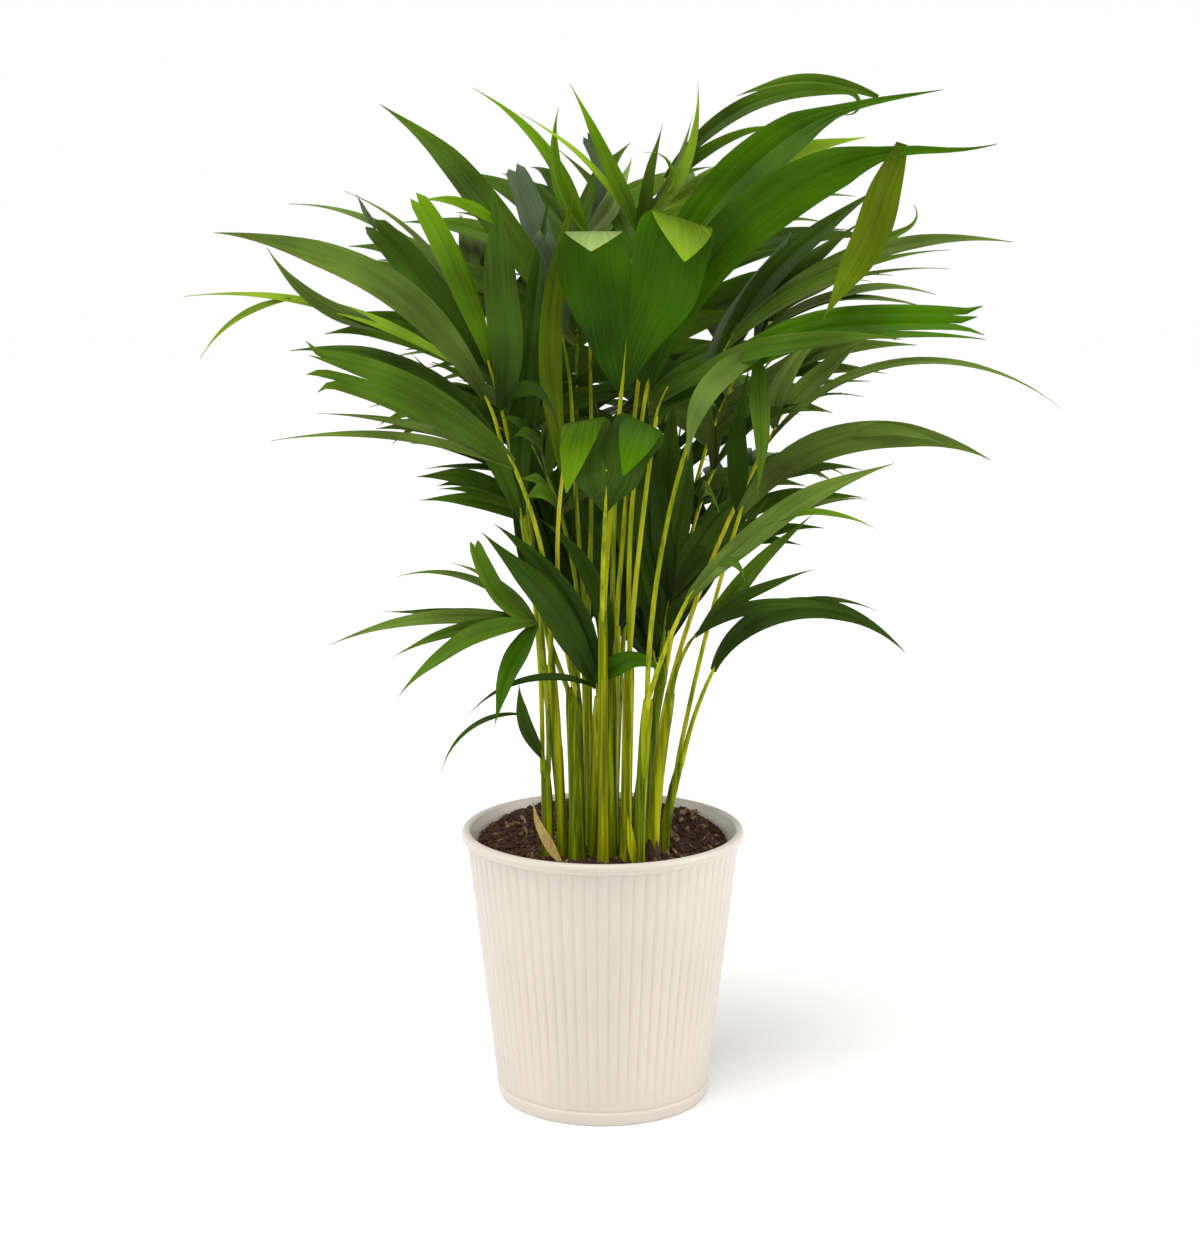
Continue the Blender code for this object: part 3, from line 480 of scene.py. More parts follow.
# Finer forms of the pot and the soil
RIM_BEAD = 3.0
RIM_GROOVE = 0.4
FOOT_ROUND = 1.2
BEAD_ROUND = 2.0
NECK_ROUND = 1.2
LIP_ROUND = 1.4
RIB_SHARPNESS = 0.5
BEAD_GROOVE = 0.5
POT_COLUMNS_PER_FLUTE = 8
WALL_RINGS = 6
SOIL_BACK_RISE = 4.2
SOIL_EDGE_DROP = 4.5
SOIL_EDGE_FROM = 0.84
SOIL_EDGE_SHARE = 0.16
SOIL_LIFT = 0.6
SOIL_LUMP = 9
SOIL_LUMP_HEIGHT = 1.8
SOIL_GRAIN = 2.6
SOIL_GRAIN_HEIGHT = 1.3
SOIL_RINGS = 34
SOIL_COLUMNS = 150
CRUMB_MARGIN = 1.2
CRUMB_SIZES = (0.3, 1.0)
CRUMB_SHAPE = ((0.6, 1.2), (0.6, 1.1), (0.5, 1.0))
CRUMB_EDGES = (0.75, 1.2)


def linear(hex_colour):
    """An sRGB hex value as linear red, green and blue."""
    parts = [int(hex_colour[start:start + 2], 16) / 255 for start in (1, 3, 5)]
    return tuple(part / 12.92 if part <= 0.04045 else ((part + 0.055) / 1.055) ** 2.4 for part in parts)


class PotSettings(bpy.types.PropertyGroup):
    """Sizes and colour of the pot."""

    flute_depth: FloatProperty(
        name="Flute depth", description="How deep the grooves between the ribs are",
        default=0.9 * MM, unit="LENGTH")
    colour: FloatVectorProperty(
        name="Pot colour", description="Warm off-white", subtype="COLOR", size=3, min=0, max=1,
        default=linear("#CCC3B8"))
    roughness: FloatProperty(
        name="Roughness", description="Satin of moulded plastic", default=0.36, min=0, max=1,
        subtype="FACTOR")


class SoilSettings(bpy.types.PropertyGroup):
    """How crumbly the soil is."""

    crumbs: IntProperty(
        name="Crumbs", description="Loose lumps that lie on the soil", default=3400, min=0)
    crumb_size: FloatProperty(
        name="Crumb size", description="Radius of the largest crumbs", default=2.5 * MM, unit="LENGTH")


class LeafSettings(bpy.types.PropertyGroup):
    """How the leaflets are folded and pleated."""

    fold: FloatProperty(
        name="Fold", description="Rise of a blade's edges over its rib, as a share of its half width",
        default=0.24, min=0, max=1, subtype="FACTOR")
    pleat: FloatProperty(
        name="Pleat height", description="Height of the pleats of a broad blade",
        default=0.55 * MM, unit="LENGTH")
    wave: FloatProperty(
        name="Wave", description="Waviness of a blade, as a share of its width",
        default=0.06, min=0, max=1, subtype="FACTOR")


class StageSettings(bpy.types.PropertyGroup):
    """Camera and studio light."""

    lens: FloatProperty(
        name="Lens", description="Focal length on a sensor 36 mm long", default=71.6, min=1,
        subtype="DISTANCE_CAMERA")
    pitch: FloatProperty(
        name="Pitch", description="How far the camera looks down", default=math.radians(10.8),
        subtype="ANGLE", unit="ROTATION")
    top_light: FloatProperty(
        name="Top light", description="Strength of the wide light from above", default=2.6, min=0)
    side_power: FloatProperty(
        name="Side lights", description="Power of the large light at the left", default=14,
        min=0, unit="POWER")
    surround: FloatProperty(
        name="Surround", description="Strength of the white surround at eye level", default=1.0, min=0)
    ceiling: FloatProperty(
        name="Ceiling", description="Strength of the surround overhead", default=0.35, min=0)
    front: FloatProperty(
        name="Front", description="Strength of the surround behind the camera, as a share", default=0.55,
        min=0, max=1, subtype="FACTOR")


def direction(angle, away):
    """The unit direction seen at this angle from the front that leans this far away."""
    seen, back = math.radians(angle), math.radians(away)
    return Vector((math.cos(seen) * math.cos(back), math.sin(back), math.sin(seen) * math.cos(back)))


def leaning(heading, rise):
    """The unit direction with this compass heading and this rise above the horizon."""
    turn, lift = math.radians(heading), math.radians(rise)
    return Vector((math.cos(turn) * math.cos(lift), math.sin(turn) * math.cos(lift), math.sin(lift)))


def run(start, first, last, length, steps):
    """Points of a limb that sets out in one direction and turns evenly to another."""
    points = [start.copy()]
    for step in range(steps):
        points.append(points[-1] + first.slerp(last, (step + 0.5) / steps) * (length / steps))
    return points


def along(points, share):
    """The place at this share of a limb's points."""
    at = share * (len(points) - 1)
    low = min(int(at), len(points) - 2)
    return points[low].lerp(points[low + 1], at - low)


def tangent(points, index):
    """The direction of a limb at one of its points."""
    return (points[min(index + 1, len(points) - 1)] - points[max(index - 1, 0)]).normalized()


def breadth(shape, share):
    """A leaflet's width at this share of its length, as a share of its widest."""
    root, widest, fullness, end = LEAF_SHAPES[shape]
    if share < widest:
        return root + (1 - root) * math.sin(share / widest * math.pi / 2)
    return end + (1 - end) * (1 - ((share - widest) / (1 - widest)) ** fullness)


def across(points, facing, twist):
    """The sideways direction of a blade at each of its points, its face turned to facing and then twisted."""
    head = tangent(points, 0)
    side = head.cross(facing)
    if side.length < HEAD_ON:
        side = head.cross(Vector((1, 0, 0)))
    side.rotate(Quaternion(head, math.radians(twist)))
    sides = []
    for index in range(len(points)):
        way = tangent(points, index)
        side = (side - way * side.dot(way)).normalized()
        sides.append(side.copy())
    return sides


def loft(mesh, rings, tip=None):
    """A closed skin over rings of corners, ending in a point where a tip is given."""
    corners = [[mesh.verts.new(corner * MM) for corner in ring] for ring in rings]
    count = len(corners[0])
    for low, high in zip(corners, corners[1:]):
        for index in range(count):
            after = (index + 1) % count
            mesh.faces.new((low[index], low[after], high[after], high[index]))
    mesh.faces.new(reversed(corners[0]))
    if tip is None:
        mesh.faces.new(corners[-1])
    else:
        point = mesh.verts.new(tip * MM)
        for index in range(count):
            mesh.faces.new((corners[-1][index], corners[-1][(index + 1) % count], point))
    bmesh.ops.recalc_face_normals(mesh, faces=mesh.faces)


def blade(leaf, swell=0.0):
    """A leaflet as a closed blade: two edges and a keel under its rib. Swell makes it larger all round."""
    mesh = bmesh.new()
    points, sides = leaf["points"], leaf["sides"]
    thick = max(THINNEST_LEAF, LEAF_THICKNESS * leaf["length"])
    rings = []
    for index in leaf["rings"]:
        share = breadth(leaf["shape"], index / LEAF_STEPS)
        up = sides[index].cross(tangent(points, index))
        half = sides[index] * (leaf["width"] / 2 * share + swell)
        lift = up * (thick / 2 * max(share, KEEL_SHARE) + swell)
        rings.append((points[index] + half + lift, points[index] - half + lift, points[index] - lift))
    loft(mesh, rings, points[-1] + tangent(points, LEAF_STEPS) * swell)
    return mesh


def tube(points, widths, sides, level, swell=0.0):
    """A round limb of these widths through these points, with its rings at the level places kept flat."""
    mesh = bmesh.new()
    rings = []
    for index, (point, width) in enumerate(zip(points, widths)):
        way = tangent(points, index)
        if index in level:
            way = Vector((0, 0, 1))
        right = Vector((0, 1, 0)).cross(way).normalized()
        back = way.cross(right)
        radius = width / 2 + swell
        turns = [2 * math.pi * corner / sides for corner in range(sides)]
        rings.append([point + (right * math.cos(turn) + back * math.sin(turn)) * radius for turn in turns])
    loft(mesh, rings)
    return mesh


def tree_of(mesh):
    """A search tree of a mesh, which is then freed."""
    tree = BVHTree.FromBMesh(mesh)
    mesh.free()
    return tree


class Space:
    """What already stands in the clump, so that what comes next keeps clear of it."""

    def __init__(self):
        self.held = []

    def add(self, owner, tree):
        self.held.append((owner, tree))

    def clear(self, tree, *own):
        return not any(owner not in own and tree.overlap(other) for owner, other in self.held)


def cane_points(row):
    """The points of a cane, from its flat foot to its flat top."""
    right, away, _, _, angle, lean, height = row
    foot = Vector((right, away, SOIL_LEVEL + GAP))
    way = direction(angle, lean)
    bow = Vector((-way.x, -way.y, 0)) * CANE_BOW
    points = []
    for index in range(CANE_RINGS):
        share = index / (CANE_RINGS - 1)
        points.append(foot + way * height * share / way.z + bow * height * share * (1 - share) * 4)
    return points


def cane_widths(row):
    """The widths of a cane: flared at its foot, then an even taper."""
    _, _, foot, top, _, _, _ = row
    widths = [foot + (top - foot) * index / (CANE_RINGS - 1) for index in range(CANE_RINGS)]
    widths[0] *= CANE_FLARE
    return widths


def stalk_ways(row):
    """The three directions of a frond's stalk and rib: at the foot, at the blade's foot and at the tip."""
    if isinstance(row[1], tuple):
        return [direction(angle, row[2]) for angle in row[1]]
    return [leaning(row[1], rise) for rise in row[2]]


def stalk_points(foot, ways, stalk, rib):
    """The points of a stalk and the rib that it goes on as."""
    half = STALK_STEPS // 2
    points = run(foot, ways[0], ways[1], stalk, half)
    return points + run(points[-1], ways[1], ways[2], rib, half)[1:]


def stalk_widths(count):
    """The widths of a stalk and its rib, from foot to tip."""
    return [STALK_WIDTH + (RIB_TIP_WIDTH - STALK_WIDTH) * index / (count - 1) for index in range(count)]


def seats(cane, rows):
    """Where each frond of a cane stands on its top, in the order of the ways they lean."""
    if len(rows) == 1:
        return {name: Vector((0, 0, 0)) for name in rows}
    top = CANES[cane][3]
    reach = top / 2 - STALK_WIDTH / 2
    lean = {name: stalk_ways(row)[1].to_2d() for name, row in rows.items()}
    middle = sum(lean.values(), Vector((0, 0))) / len(lean)
    turned_to = {name: math.atan2(*reversed(way - middle)) for name, way in lean.items()}
    order = sorted(turned_to, key=turned_to.get)
    start = turned_to[order[0]]
    places = {}
    for index, name in enumerate(order):
        turn = start + 2 * math.pi * index / len(order)
        places[name] = Vector((math.cos(turn), math.sin(turn), 0)) * reach
    return places


def pushed(way, push, degrees):
    """A direction turned this many degrees towards another."""
    return (way + push * math.tan(math.radians(degrees))).normalized()


def placed_leaves(row):
    """The leaflets of a frond whose rows say where each one reaches."""
    leaves = []
    for place, first, last, length, width, away, shape, *stands_on in row[5]:
        leaves.append({
            "place": place,
            "on": stands_on[0] if stands_on else None,
            "ways": (direction(first, away), direction(last, away)),
            "length": length / math.cos(math.radians(away)),
            "width": width,
            "shape": shape,
            "facing": FRONT_FACING,
            "push": Vector((0, 1, 0)),
        })
    return leaves


def ruled_leaves(row, rib, chance):
    """The leaflets of a frond that follows the rule: pairs that lie closer to the rib towards its tip."""
    _, _, rises, _, _, pairs, longest, widest = row
    down = Vector((0, 0, -1))
    hang = min(1.0, (NO_DROOP_RISE - rises[2]) / (NO_DROOP_RISE - FULL_DROOP_RISE))
    leaves = []
    for pair in range(pairs + 1):
        place = min(1.0, (pair + FIRST_PAIR) / pairs)
        way = tangent(rib, round(place * (len(rib) - 1)))
        for hand in (-1, 1):
            side = way.cross(Vector((0, 0, 1))).normalized() * hand
            face = side.cross(way) * hand
            splay = math.radians(SPLAY - SPLAY_CLOSING * place + chance.uniform(-SPLAY_SPREAD, SPLAY_SPREAD))
            lift = math.radians(chance.uniform(*LIFTS))
            first = way * math.cos(splay) + (side * math.cos(lift) + face * math.sin(lift)) * math.sin(splay)
            droop = chance.uniform(*DROOPS) * hang / math.degrees(first.angle(down))
            reach = END_PAIR_LENGTH + MIDDLE_PAIR_LENGTH * math.sin(place * math.pi)
            leaves.append({
                "place": place,
                "on": None,
                "ways": (first, first.slerp(down, droop)),
                "length": longest * reach * chance.uniform(*LENGTHS),
                "width": widest * chance.uniform(*WIDTHS),
                "shape": "lance" if place > LANCES_FROM else "strap",
                "facing": face,
                "push": face,
            })
    return leaves


def grown_leaf(leaf, root, shift, twist, share):
    """A leaflet that stands at its root, moved and shortened as a try says."""
    first, last = (pushed(way, leaf["push"], shift) for way in leaf["ways"])
    points = run(root, first, last, leaf["length"] * share, LEAF_STEPS)
    sides = across(points, leaf["facing"], leaf["twist"] + twist)
    return dict(leaf, points=points, sides=sides, length=leaf["length"] * share, grown_ways=(first, last))


def stalk_mesh(points, swell=0.0):
    """The mesh of a stalk and its rib."""
    widths = stalk_widths(len(points))
    return tube([points[i] for i in STALK_RINGS], [widths[i] for i in STALK_RINGS], STALK_SIDES, (0,), swell)


def grow_stalk(name, row, foot, space):
    """The points of a frond's stalk and rib, which keep clear of what already stands."""
    foot_way, blade_way, tip_way = stalk_ways(row)
    push = Vector((0, 1, 0)) if isinstance(row[1], tuple) else foot_way.cross(blade_way).normalized()
    for shift in STALK_TRIES:
        ways = (
            pushed(foot_way, push, shift / 2), pushed(blade_way, push, shift), pushed(tip_way, push, shift))
        points = stalk_points(foot, ways, row[3], row[4])
        if space.clear(tree_of(stalk_mesh(points, CLEARANCE)), row[0]):
            space.add(name, tree_of(stalk_mesh(points)))
            return points
    raise RuntimeError(f"{name} finds no way up")


def settled_leaf(name, leaf, root, space):
    """The leaflet at the first of its tries that touches nothing, or None."""
    for shift, twist, share in LEAF_TRIES:
        trial = grown_leaf(leaf, root, shift, twist, share)
        if space.clear(tree_of(blade(trial, CLEARANCE)), name):
            space.add(name, tree_of(blade(trial)))
            return trial
    return None


def grow_frond(name, row, foot, space):
    """A frond as (stalk points, leaflets). A leaflet that finds no clear place is None."""
    chance = random.Random(f"{SEED} {name}")
    points = grow_stalk(name, row, foot, space)
    rib = points[STALK_STEPS // 2:]
    wanted = placed_leaves(row) if isinstance(row[1], tuple) else ruled_leaves(row, rib, chance)
    grown = []
    for leaf in wanted:
        leaf["twist"] = chance.uniform(-MOST_TWIST, MOST_TWIST)
        leaf["rings"] = LEAF_RINGS if name in PLACED_FRONDS else FAR_LEAF_RINGS
        base = rib if leaf["on"] is None else grown[leaf["on"] - 1] and grown[leaf["on"] - 1]["points"]
        grown.append(base and settled_leaf(name, leaf, along(base, leaf["place"]), space))
    return points, grown


def turned(outline, steps):
    """A mesh turned from an outline of (radius, height) in millimetres."""
    mesh = bmesh.new()
    corners = [mesh.verts.new((radius * MM, 0, height * MM)) for radius, height in outline]
    edges = [mesh.edges.new(pair) for pair in zip(corners, corners[1:])]
    bmesh.ops.spin(
        mesh, geom=corners + edges, cent=(0, 0, 0), axis=(0, 0, 1), dvec=(0, 0, 0),
        angle=2 * math.pi, steps=steps, use_merge=True,
    )
    bmesh.ops.remove_doubles(mesh, verts=mesh.verts, dist=SAME_PLACE * MM)
    bmesh.ops.recalc_face_normals(mesh, faces=mesh.faces)
    return mesh


def standing_blade(root, ways, length, width):
    """A small lance blade of its own that stands on its root and faces the front."""
    leaf = {
        "ways": ways, "length": length, "width": width, "shape": "lance", "facing": FRONT_FACING,
        "push": Vector((0, 1, 0)), "twist": 0, "rings": LEAF_RINGS,
    }
    return grown_leaf(leaf, root, 0, 0, 1)


def husk_leaf():
    """The dry scale leaf that stands in the soil by the left canes."""
    right, away, angle, lean, length, width = HUSK
    ways = (direction(angle, lean), direction(angle - HUSK_CURL, lean))
    return standing_blade(Vector((right, away, SOIL_LEVEL + GAP)), ways, length, width)


@lru_cache(maxsize=1)
def plant():
    """Every frond by name, as (row, stalk points, leaflets), grown as the solids are."""
    space = Space()
    for name, row in CANES.items():
        cane = tube(cane_points(row), cane_widths(row), CANE_SIDES, (0, CANE_RINGS - 1))
        space.add(name, tree_of(cane))
    rim = ((0, SOIL_LEVEL), (RIM_RADIUS, SOIL_LEVEL), (RIM_RADIUS, POT_HEIGHT))
    space.add("pot", tree_of(turned(rim, SOIL_SIDES)))
    space.add("husk", tree_of(blade(husk_leaf())))
    rows = {**PLACED_FRONDS, **RULED_FRONDS, **CORE_FRONDS}
    feet = {}
    for cane, row in CANES.items():
        top = cane_points(row)[-1] + Vector((0, 0, GAP))
        own = {name: frond for name, frond in rows.items() if frond[0] == cane}
        feet.update({name: top + seat for name, seat in seats(cane, own).items()} if own else {})
    return {name: (row, *grow_frond(name, row, feet[name], space)) for name, row in rows.items()}


def add(tree, kind, settings=None, inputs=None, links=None, stops=None):
    """Adds a node with its settings, input values, links from output sockets and colour stops."""
    made = tree.nodes.new(kind)
    for name, value in (settings or {}).items():
        setattr(made, name, value)
    for name, value in (inputs or {}).items():
        made.inputs[name].default_value = value
    for name, output in (links or {}).items():
        tree.links.new(output, made.inputs[name])
    if stops:
        elements = made.color_ramp.elements
        while len(elements) < len(stops):
            elements.new(0.5)
        for element, (position, colour) in zip(elements, stops):
            element.position = position
            element.color = (*colour, 1)
    return made


def new_material(name, **sockets):
    """A material by this name and its node tree, with these values set on its shader."""
    made = bpy.data.materials.new(name)
    made.use_nodes = True
    shader = made.node_tree.nodes["Principled BSDF"]
    for socket, value in sockets.items():
        shader.inputs[socket.replace("_", " ")].default_value = value
    return made, made.node_tree


def pattern(tree, places, scale, detail, roughness=0.5):
    """A cloudy pattern over these places, its scale in repeats per unit along each axis."""
    spread = add(tree, "ShaderNodeMapping", inputs={"Scale": scale}, links={"Vector": places})
    inputs = {"Scale": 1.0, "Detail": detail, "Roughness": roughness}
    clouds = add(tree, "ShaderNodeTexNoise", inputs=inputs, links={"Vector": spread.outputs["Vector"]})
    return clouds.outputs["Fac"]


def paint(tree, tone, stops, relief, strength, depth):
    """Colours a material by a tone through its stops, and gives it this relief, depth in metres."""
    shader = tree.nodes["Principled BSDF"]
    tint = add(tree, "ShaderNodeValToRGB", links={"Fac": tone}, stops=stops)
    tree.links.new(tint.outputs["Color"], shader.inputs["Base Color"])
    bump = add(tree, "ShaderNodeBump", inputs={"Strength": strength, "Distance": depth}, links={
        "Height": relief})
    tree.links.new(bump.outputs["Normal"], shader.inputs["Normal"])


def shaded(colour, share):
    """A colour made lighter or darker by this share."""
    return tuple(min(1.0, part * share) for part in colour)


# What each leaf tone is to the eye, on its upper side
LEAF_COLOURS = {
    "deep": "#263B06",
    "dark": "#344B0E",
    "mid": "#425C11",
    "heart": "#2E5000",
    "fresh": "#375B00",
    "bright": "#547608",
    "lime": "#6E8B17",
    "olive": "#516624",
    # A greyer underside colour with a painted sheen on it
    "underside_and_sheen": "#47553A",
    "new": "#4B5F07",
    "pale": "#7E9250",
}
UNDERSIDE_COLOUR = "#555D3C"
UNDERSIDE_SHARE = 0.35
LEAF_SHEEN = 0.08
STEM_SHEEN = 0.08

# The veins of a leaf in millimetres, drawn coarser than the real ones so that they show
VEIN_SPACING = 1.5
VEIN_RUN = 55.0

# Patterns in repeats per metre
LEAF_CLOUDS = (22, 22, 22)  # lighter and darker places 45 mm wide
STEM_STREAKS = (700, 700, 14)  # streaks 1.4 mm wide and 70 mm long
STEM_PATCHES = (260, 260, 9)  # patches 4 mm wide and 110 mm long
POT_CLOUDS = (14, 14, 14)  # places 70 mm wide
POT_GRAIN = (2600, 2600, 2600)  # the mould's grain is finer, and is drawn 0.4 mm wide so that it shows
SOIL_LUMPS = (380, 380, 380)  # lumps 2.6 mm wide
DRY_FIBRES = (1200, 1200, 60)  # fibres 0.8 mm wide and 17 mm long

# How much a leaf's tone follows its veins, the broad clouds and the way to its tip, and the leaflet's own
LEAF_TONE_SHARES = (0.24, 0.44, 0.20)
OWN_TONE_SHARE = 0.12


def underside(colour):
    """The duller, greyer colour of the same leaf from below."""
    below = linear(UNDERSIDE_COLOUR)
    return tuple(part + (dull - part) * UNDERSIDE_SHARE for part, dull in zip(colour, below))


def leaf_skin(name, colour, roughness):
    """Living palm leaf: a waxy satin skin with fine veins, lighter to its tip, no two leaflets alike."""
    made, tree = new_material(name, Roughness=roughness, IOR=1.4, Specular_IOR_Level=LEAF_SHEEN)
    flat = add(tree, "ShaderNodeUVMap", {"uv_map": "blade"}).outputs["UV"]
    veins = pattern(tree, flat, (1 / VEIN_SPACING, 1 / VEIN_RUN, 1), 2.0)
    broad = pattern(tree, add(tree, "ShaderNodeTexCoord").outputs["Object"], LEAF_CLOUDS, 1.0)
    spread = add(tree, "ShaderNodeUVMap", {"uv_map": "spread"}).outputs["UV"]
    own = add(tree, "ShaderNodeSeparateXYZ", links={"Vector": spread}).outputs
    three = add(tree, "ShaderNodeCombineXYZ", links={"X": veins, "Y": broad, "Z": own["X"]})
    weighed = add(tree, "ShaderNodeVectorMath", {"operation": "DOT_PRODUCT"}, {1: LEAF_TONE_SHARES}, {
        0: three.outputs["Vector"]})
    tone = add(tree, "ShaderNodeMath", {"operation": "MULTIPLY_ADD"}, {1: OWN_TONE_SHARE}, {
        0: own["Y"], 2: weighed.outputs["Value"]})
    stops = [(0.34, shaded(colour, 0.45)), (0.5, colour), (0.66, shaded(colour, 1.6))]
    paint(tree, tone.outputs["Value"], stops, veins, 0.35, 0.00025)
    return made


def stem_skin(name, low_hex, sheen_hex, streak_and_shade_hex, roughness):
    """Green palm stem: smooth and waxy, with long lighter and darker streaks that run up it. The lighter
    streaks are painted sheen, and the darker ones are partly painted shade.
    """
    made, tree = new_material(name, Roughness=roughness, IOR=1.4, Specular_IOR_Level=STEM_SHEEN)
    places = add(tree, "ShaderNodeTexCoord").outputs["Object"]
    streaks = pattern(tree, places, STEM_STREAKS, 3.0)
    patches = pattern(tree, places, STEM_PATCHES, 2.0)
    tone = add(tree, "ShaderNodeMath", {"operation": "MULTIPLY_ADD"}, {1: 0.6}, {0: streaks, 2: patches})
    # The darkest stop is the streaks, partly painted shade; the lightest stop is painted sheen
    stops = [(0.6, linear(streak_and_shade_hex)), (0.78, linear(low_hex)), (0.96, linear(sheen_hex))]
    paint(tree, tone.outputs["Value"], stops, streaks, 0.3, 0.0002)
    return made


def moulded_plastic(settings):
    """Moulded polypropylene: a warm off-white satin with the faint grain of its mould."""
    made, tree = new_material("pot_polypropylene", Roughness=settings.roughness, IOR=1.49)
    colour = tuple(settings.colour)
    places = add(tree, "ShaderNodeTexCoord").outputs["Object"]
    clouds = pattern(tree, places, POT_CLOUDS, 2.0)
    stops = [(0.3, shaded(colour, 0.97)), (0.7, shaded(colour, 1.02))]
    paint(tree, clouds, stops, pattern(tree, places, POT_GRAIN, 1.0), 0.12, 0.00005)
    return made


def potting_soil(name, dark_hex, light_hex):
    """Moist peat: matt, dark brown, each crumb a little lighter or darker than the next."""
    made, tree = new_material(name, Roughness=0.95, IOR=1.4)
    lumps = pattern(tree, add(tree, "ShaderNodeTexCoord").outputs["Object"], SOIL_LUMPS, 5.0, 0.65)
    paint(tree, lumps, [(0.32, linear(dark_hex)), (0.72, linear(light_hex))], lumps, 0.6, 0.0008)
    return made


def dry_leaf(name, hex_colour):
    """Dry palm leaf: matt, tan, with fibres along it."""
    made, tree = new_material(name, Roughness=0.75, IOR=1.45)
    colour = linear(hex_colour)
    fibres = pattern(tree, add(tree, "ShaderNodeTexCoord").outputs["Object"], DRY_FIBRES, 3.0)
    paint(tree, fibres, [(0.3, shaded(colour, 0.6)), (0.7, shaded(colour, 1.2))], fibres, 0.5, 0.0003)
    return made


def piece(name, mesh, materials, nodes, sharp=35):
    """A finished piece of the plant: an object of this mesh that stands for these nodes."""
    if isinstance(mesh, bmesh.types.BMesh):
        data = bpy.data.meshes.new(name)
        mesh.to_mesh(data)
        mesh.free()
    else:
        data = mesh
        data.name = name
    if not data.polygons:
        raise RuntimeError(f"{name} has no faces")
    for finish in materials:
        data.materials.append(finish)
    data.shade_smooth()
    data.set_sharp_from_angle(angle=math.radians(sharp))
    made = bpy.data.objects.new(name, data)
    bpy.context.scene.collection.objects.link(made)
    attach(made, "root")
    if nodes:
        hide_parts(*nodes)
    return made


def arc(middle, radius, first, last, steps):
    """Points of an arc round a middle, from one angle to another, in (radius, height)."""
    turns = [math.radians(first + (last - first) * step / steps) for step in range(steps + 1)]
    return [(middle[0] + radius * math.cos(turn), middle[1] + radius * math.sin(turn)) for turn in turns]


def wall_radius(height):
    """The outside of the pot's wall at a height, in millimetres."""
    return POT_FOOT_RADIUS + (POT_NECK_RADIUS - POT_FOOT_RADIUS) * height / (POT_HEIGHT - RIM_DEPTH)


def inner_radius(height):
    """The inside of the pot at a height near its soil: the wall, then the slope of the rim."""
    if height < SOIL_LEVEL:
        narrowing = (INNER_NECK_RADIUS - POT_FOOT_RADIUS + POT_WALL) / (SOIL_LEVEL - POT_FLOOR)
        return INNER_NECK_RADIUS - (SOIL_LEVEL - height) * narrowing
    lip = RIM_RADIUS - 2 * RIM_BEAD
    share = (height - SOIL_LEVEL) / (POT_HEIGHT - RIM_BEAD - SOIL_LEVEL)
    return INNER_NECK_RADIUS + (lip - INNER_NECK_RADIUS) * share


def pot_outline():
    """The pot's profile, from the centre of its underside up the outside, over the rim and down inside."""
    neck = POT_HEIGHT - RIM_DEPTH
    low = BASE_BEAD_HEIGHT
    foot = arc((POT_FOOT_RADIUS - FOOT_ROUND, FOOT_ROUND), FOOT_ROUND, -90, -5, 4)
    bead = arc((BASE_BEAD_RADIUS - BEAD_ROUND, low - 2 * BEAD_ROUND), BEAD_ROUND, -12, 68, 6)
    groove = [(wall_radius(low) - BEAD_GROOVE, low - FOOT_ROUND)]
    heights = [low + (neck - NECK_ROUND - low) * ring / WALL_RINGS for ring in range(WALL_RINGS + 1)]
    wall = [(wall_radius(height), height) for height in heights]
    under = arc((wall[-1][0] + NECK_ROUND, neck - NECK_ROUND), NECK_ROUND, 180, 90, 4)[1:]
    lip = arc((RIM_RADIUS - LIP_ROUND, neck + LIP_ROUND), LIP_ROUND, -90, 0, 5)
    line = [(RIM_RADIUS - RIM_GROOVE, neck + 1.5 * LIP_ROUND), (RIM_RADIUS, neck + 2 * LIP_ROUND)]
    top = arc((RIM_RADIUS - RIM_BEAD, POT_HEIGHT - RIM_BEAD), RIM_BEAD, 0, 180, 14)
    inside = [(INNER_NECK_RADIUS, SOIL_LEVEL), (POT_FOOT_RADIUS - POT_WALL, POT_FLOOR), (0, POT_FLOOR)]
    return [(0, 0), *foot, *bead, *groove, *wall, *under, *lip, *line, *top, *inside]


class PALM_OT_pot(bpy.types.Operator):
    """Makes the fluted pot with its rolled rim"""

    bl_idname = "palm.pot"
    bl_label = "Pot"

    def execute(self, context):
        settings = context.scene.palm_pot
        mesh = turned(pot_outline(), FLUTES * POT_COLUMNS_PER_FLUTE)
        low, high = BASE_BEAD_HEIGHT + 0.5, POT_HEIGHT - RIM_DEPTH - 1
        for corner in mesh.verts:
            height, radius = corner.co.z / MM, corner.co.xy.length / MM
            if not low < height < high or radius < wall_radius(height) - 1:
                continue
            turn = math.atan2(corner.co.y, corner.co.x) * FLUTES
            rib = abs(math.cos(turn / 2)) ** RIB_SHARPNESS
            corner.co.xy -= corner.co.xy.normalized() * settings.flute_depth * (1 - rib)
        piece("fluted_pot", mesh, [moulded_plastic(settings)], ["pot"], sharp=60)
        return {"FINISHED"}


def soil_height(right, away):
    """The height of the soil's rough surface at a place, in millimetres. It rises to the back wall."""
    out = math.hypot(right, away) / SOIL_RADIUS
    back = max(0.0, min(1.0, away / SOIL_RADIUS))
    drop = max(0.0, (out - SOIL_EDGE_FROM) / SOIL_EDGE_SHARE) ** 2 * (1 - back)
    level = SOIL_LEVEL + SOIL_LIFT + SOIL_BACK_RISE * back ** 1.3 - SOIL_EDGE_DROP * drop
    rough = noise.noise(Vector((right, away, 0)) / SOIL_LUMP) * SOIL_LUMP_HEIGHT
    fine = noise.noise(Vector((right, away, 40)) / SOIL_GRAIN) * SOIL_GRAIN_HEIGHT
    return level + rough + fine


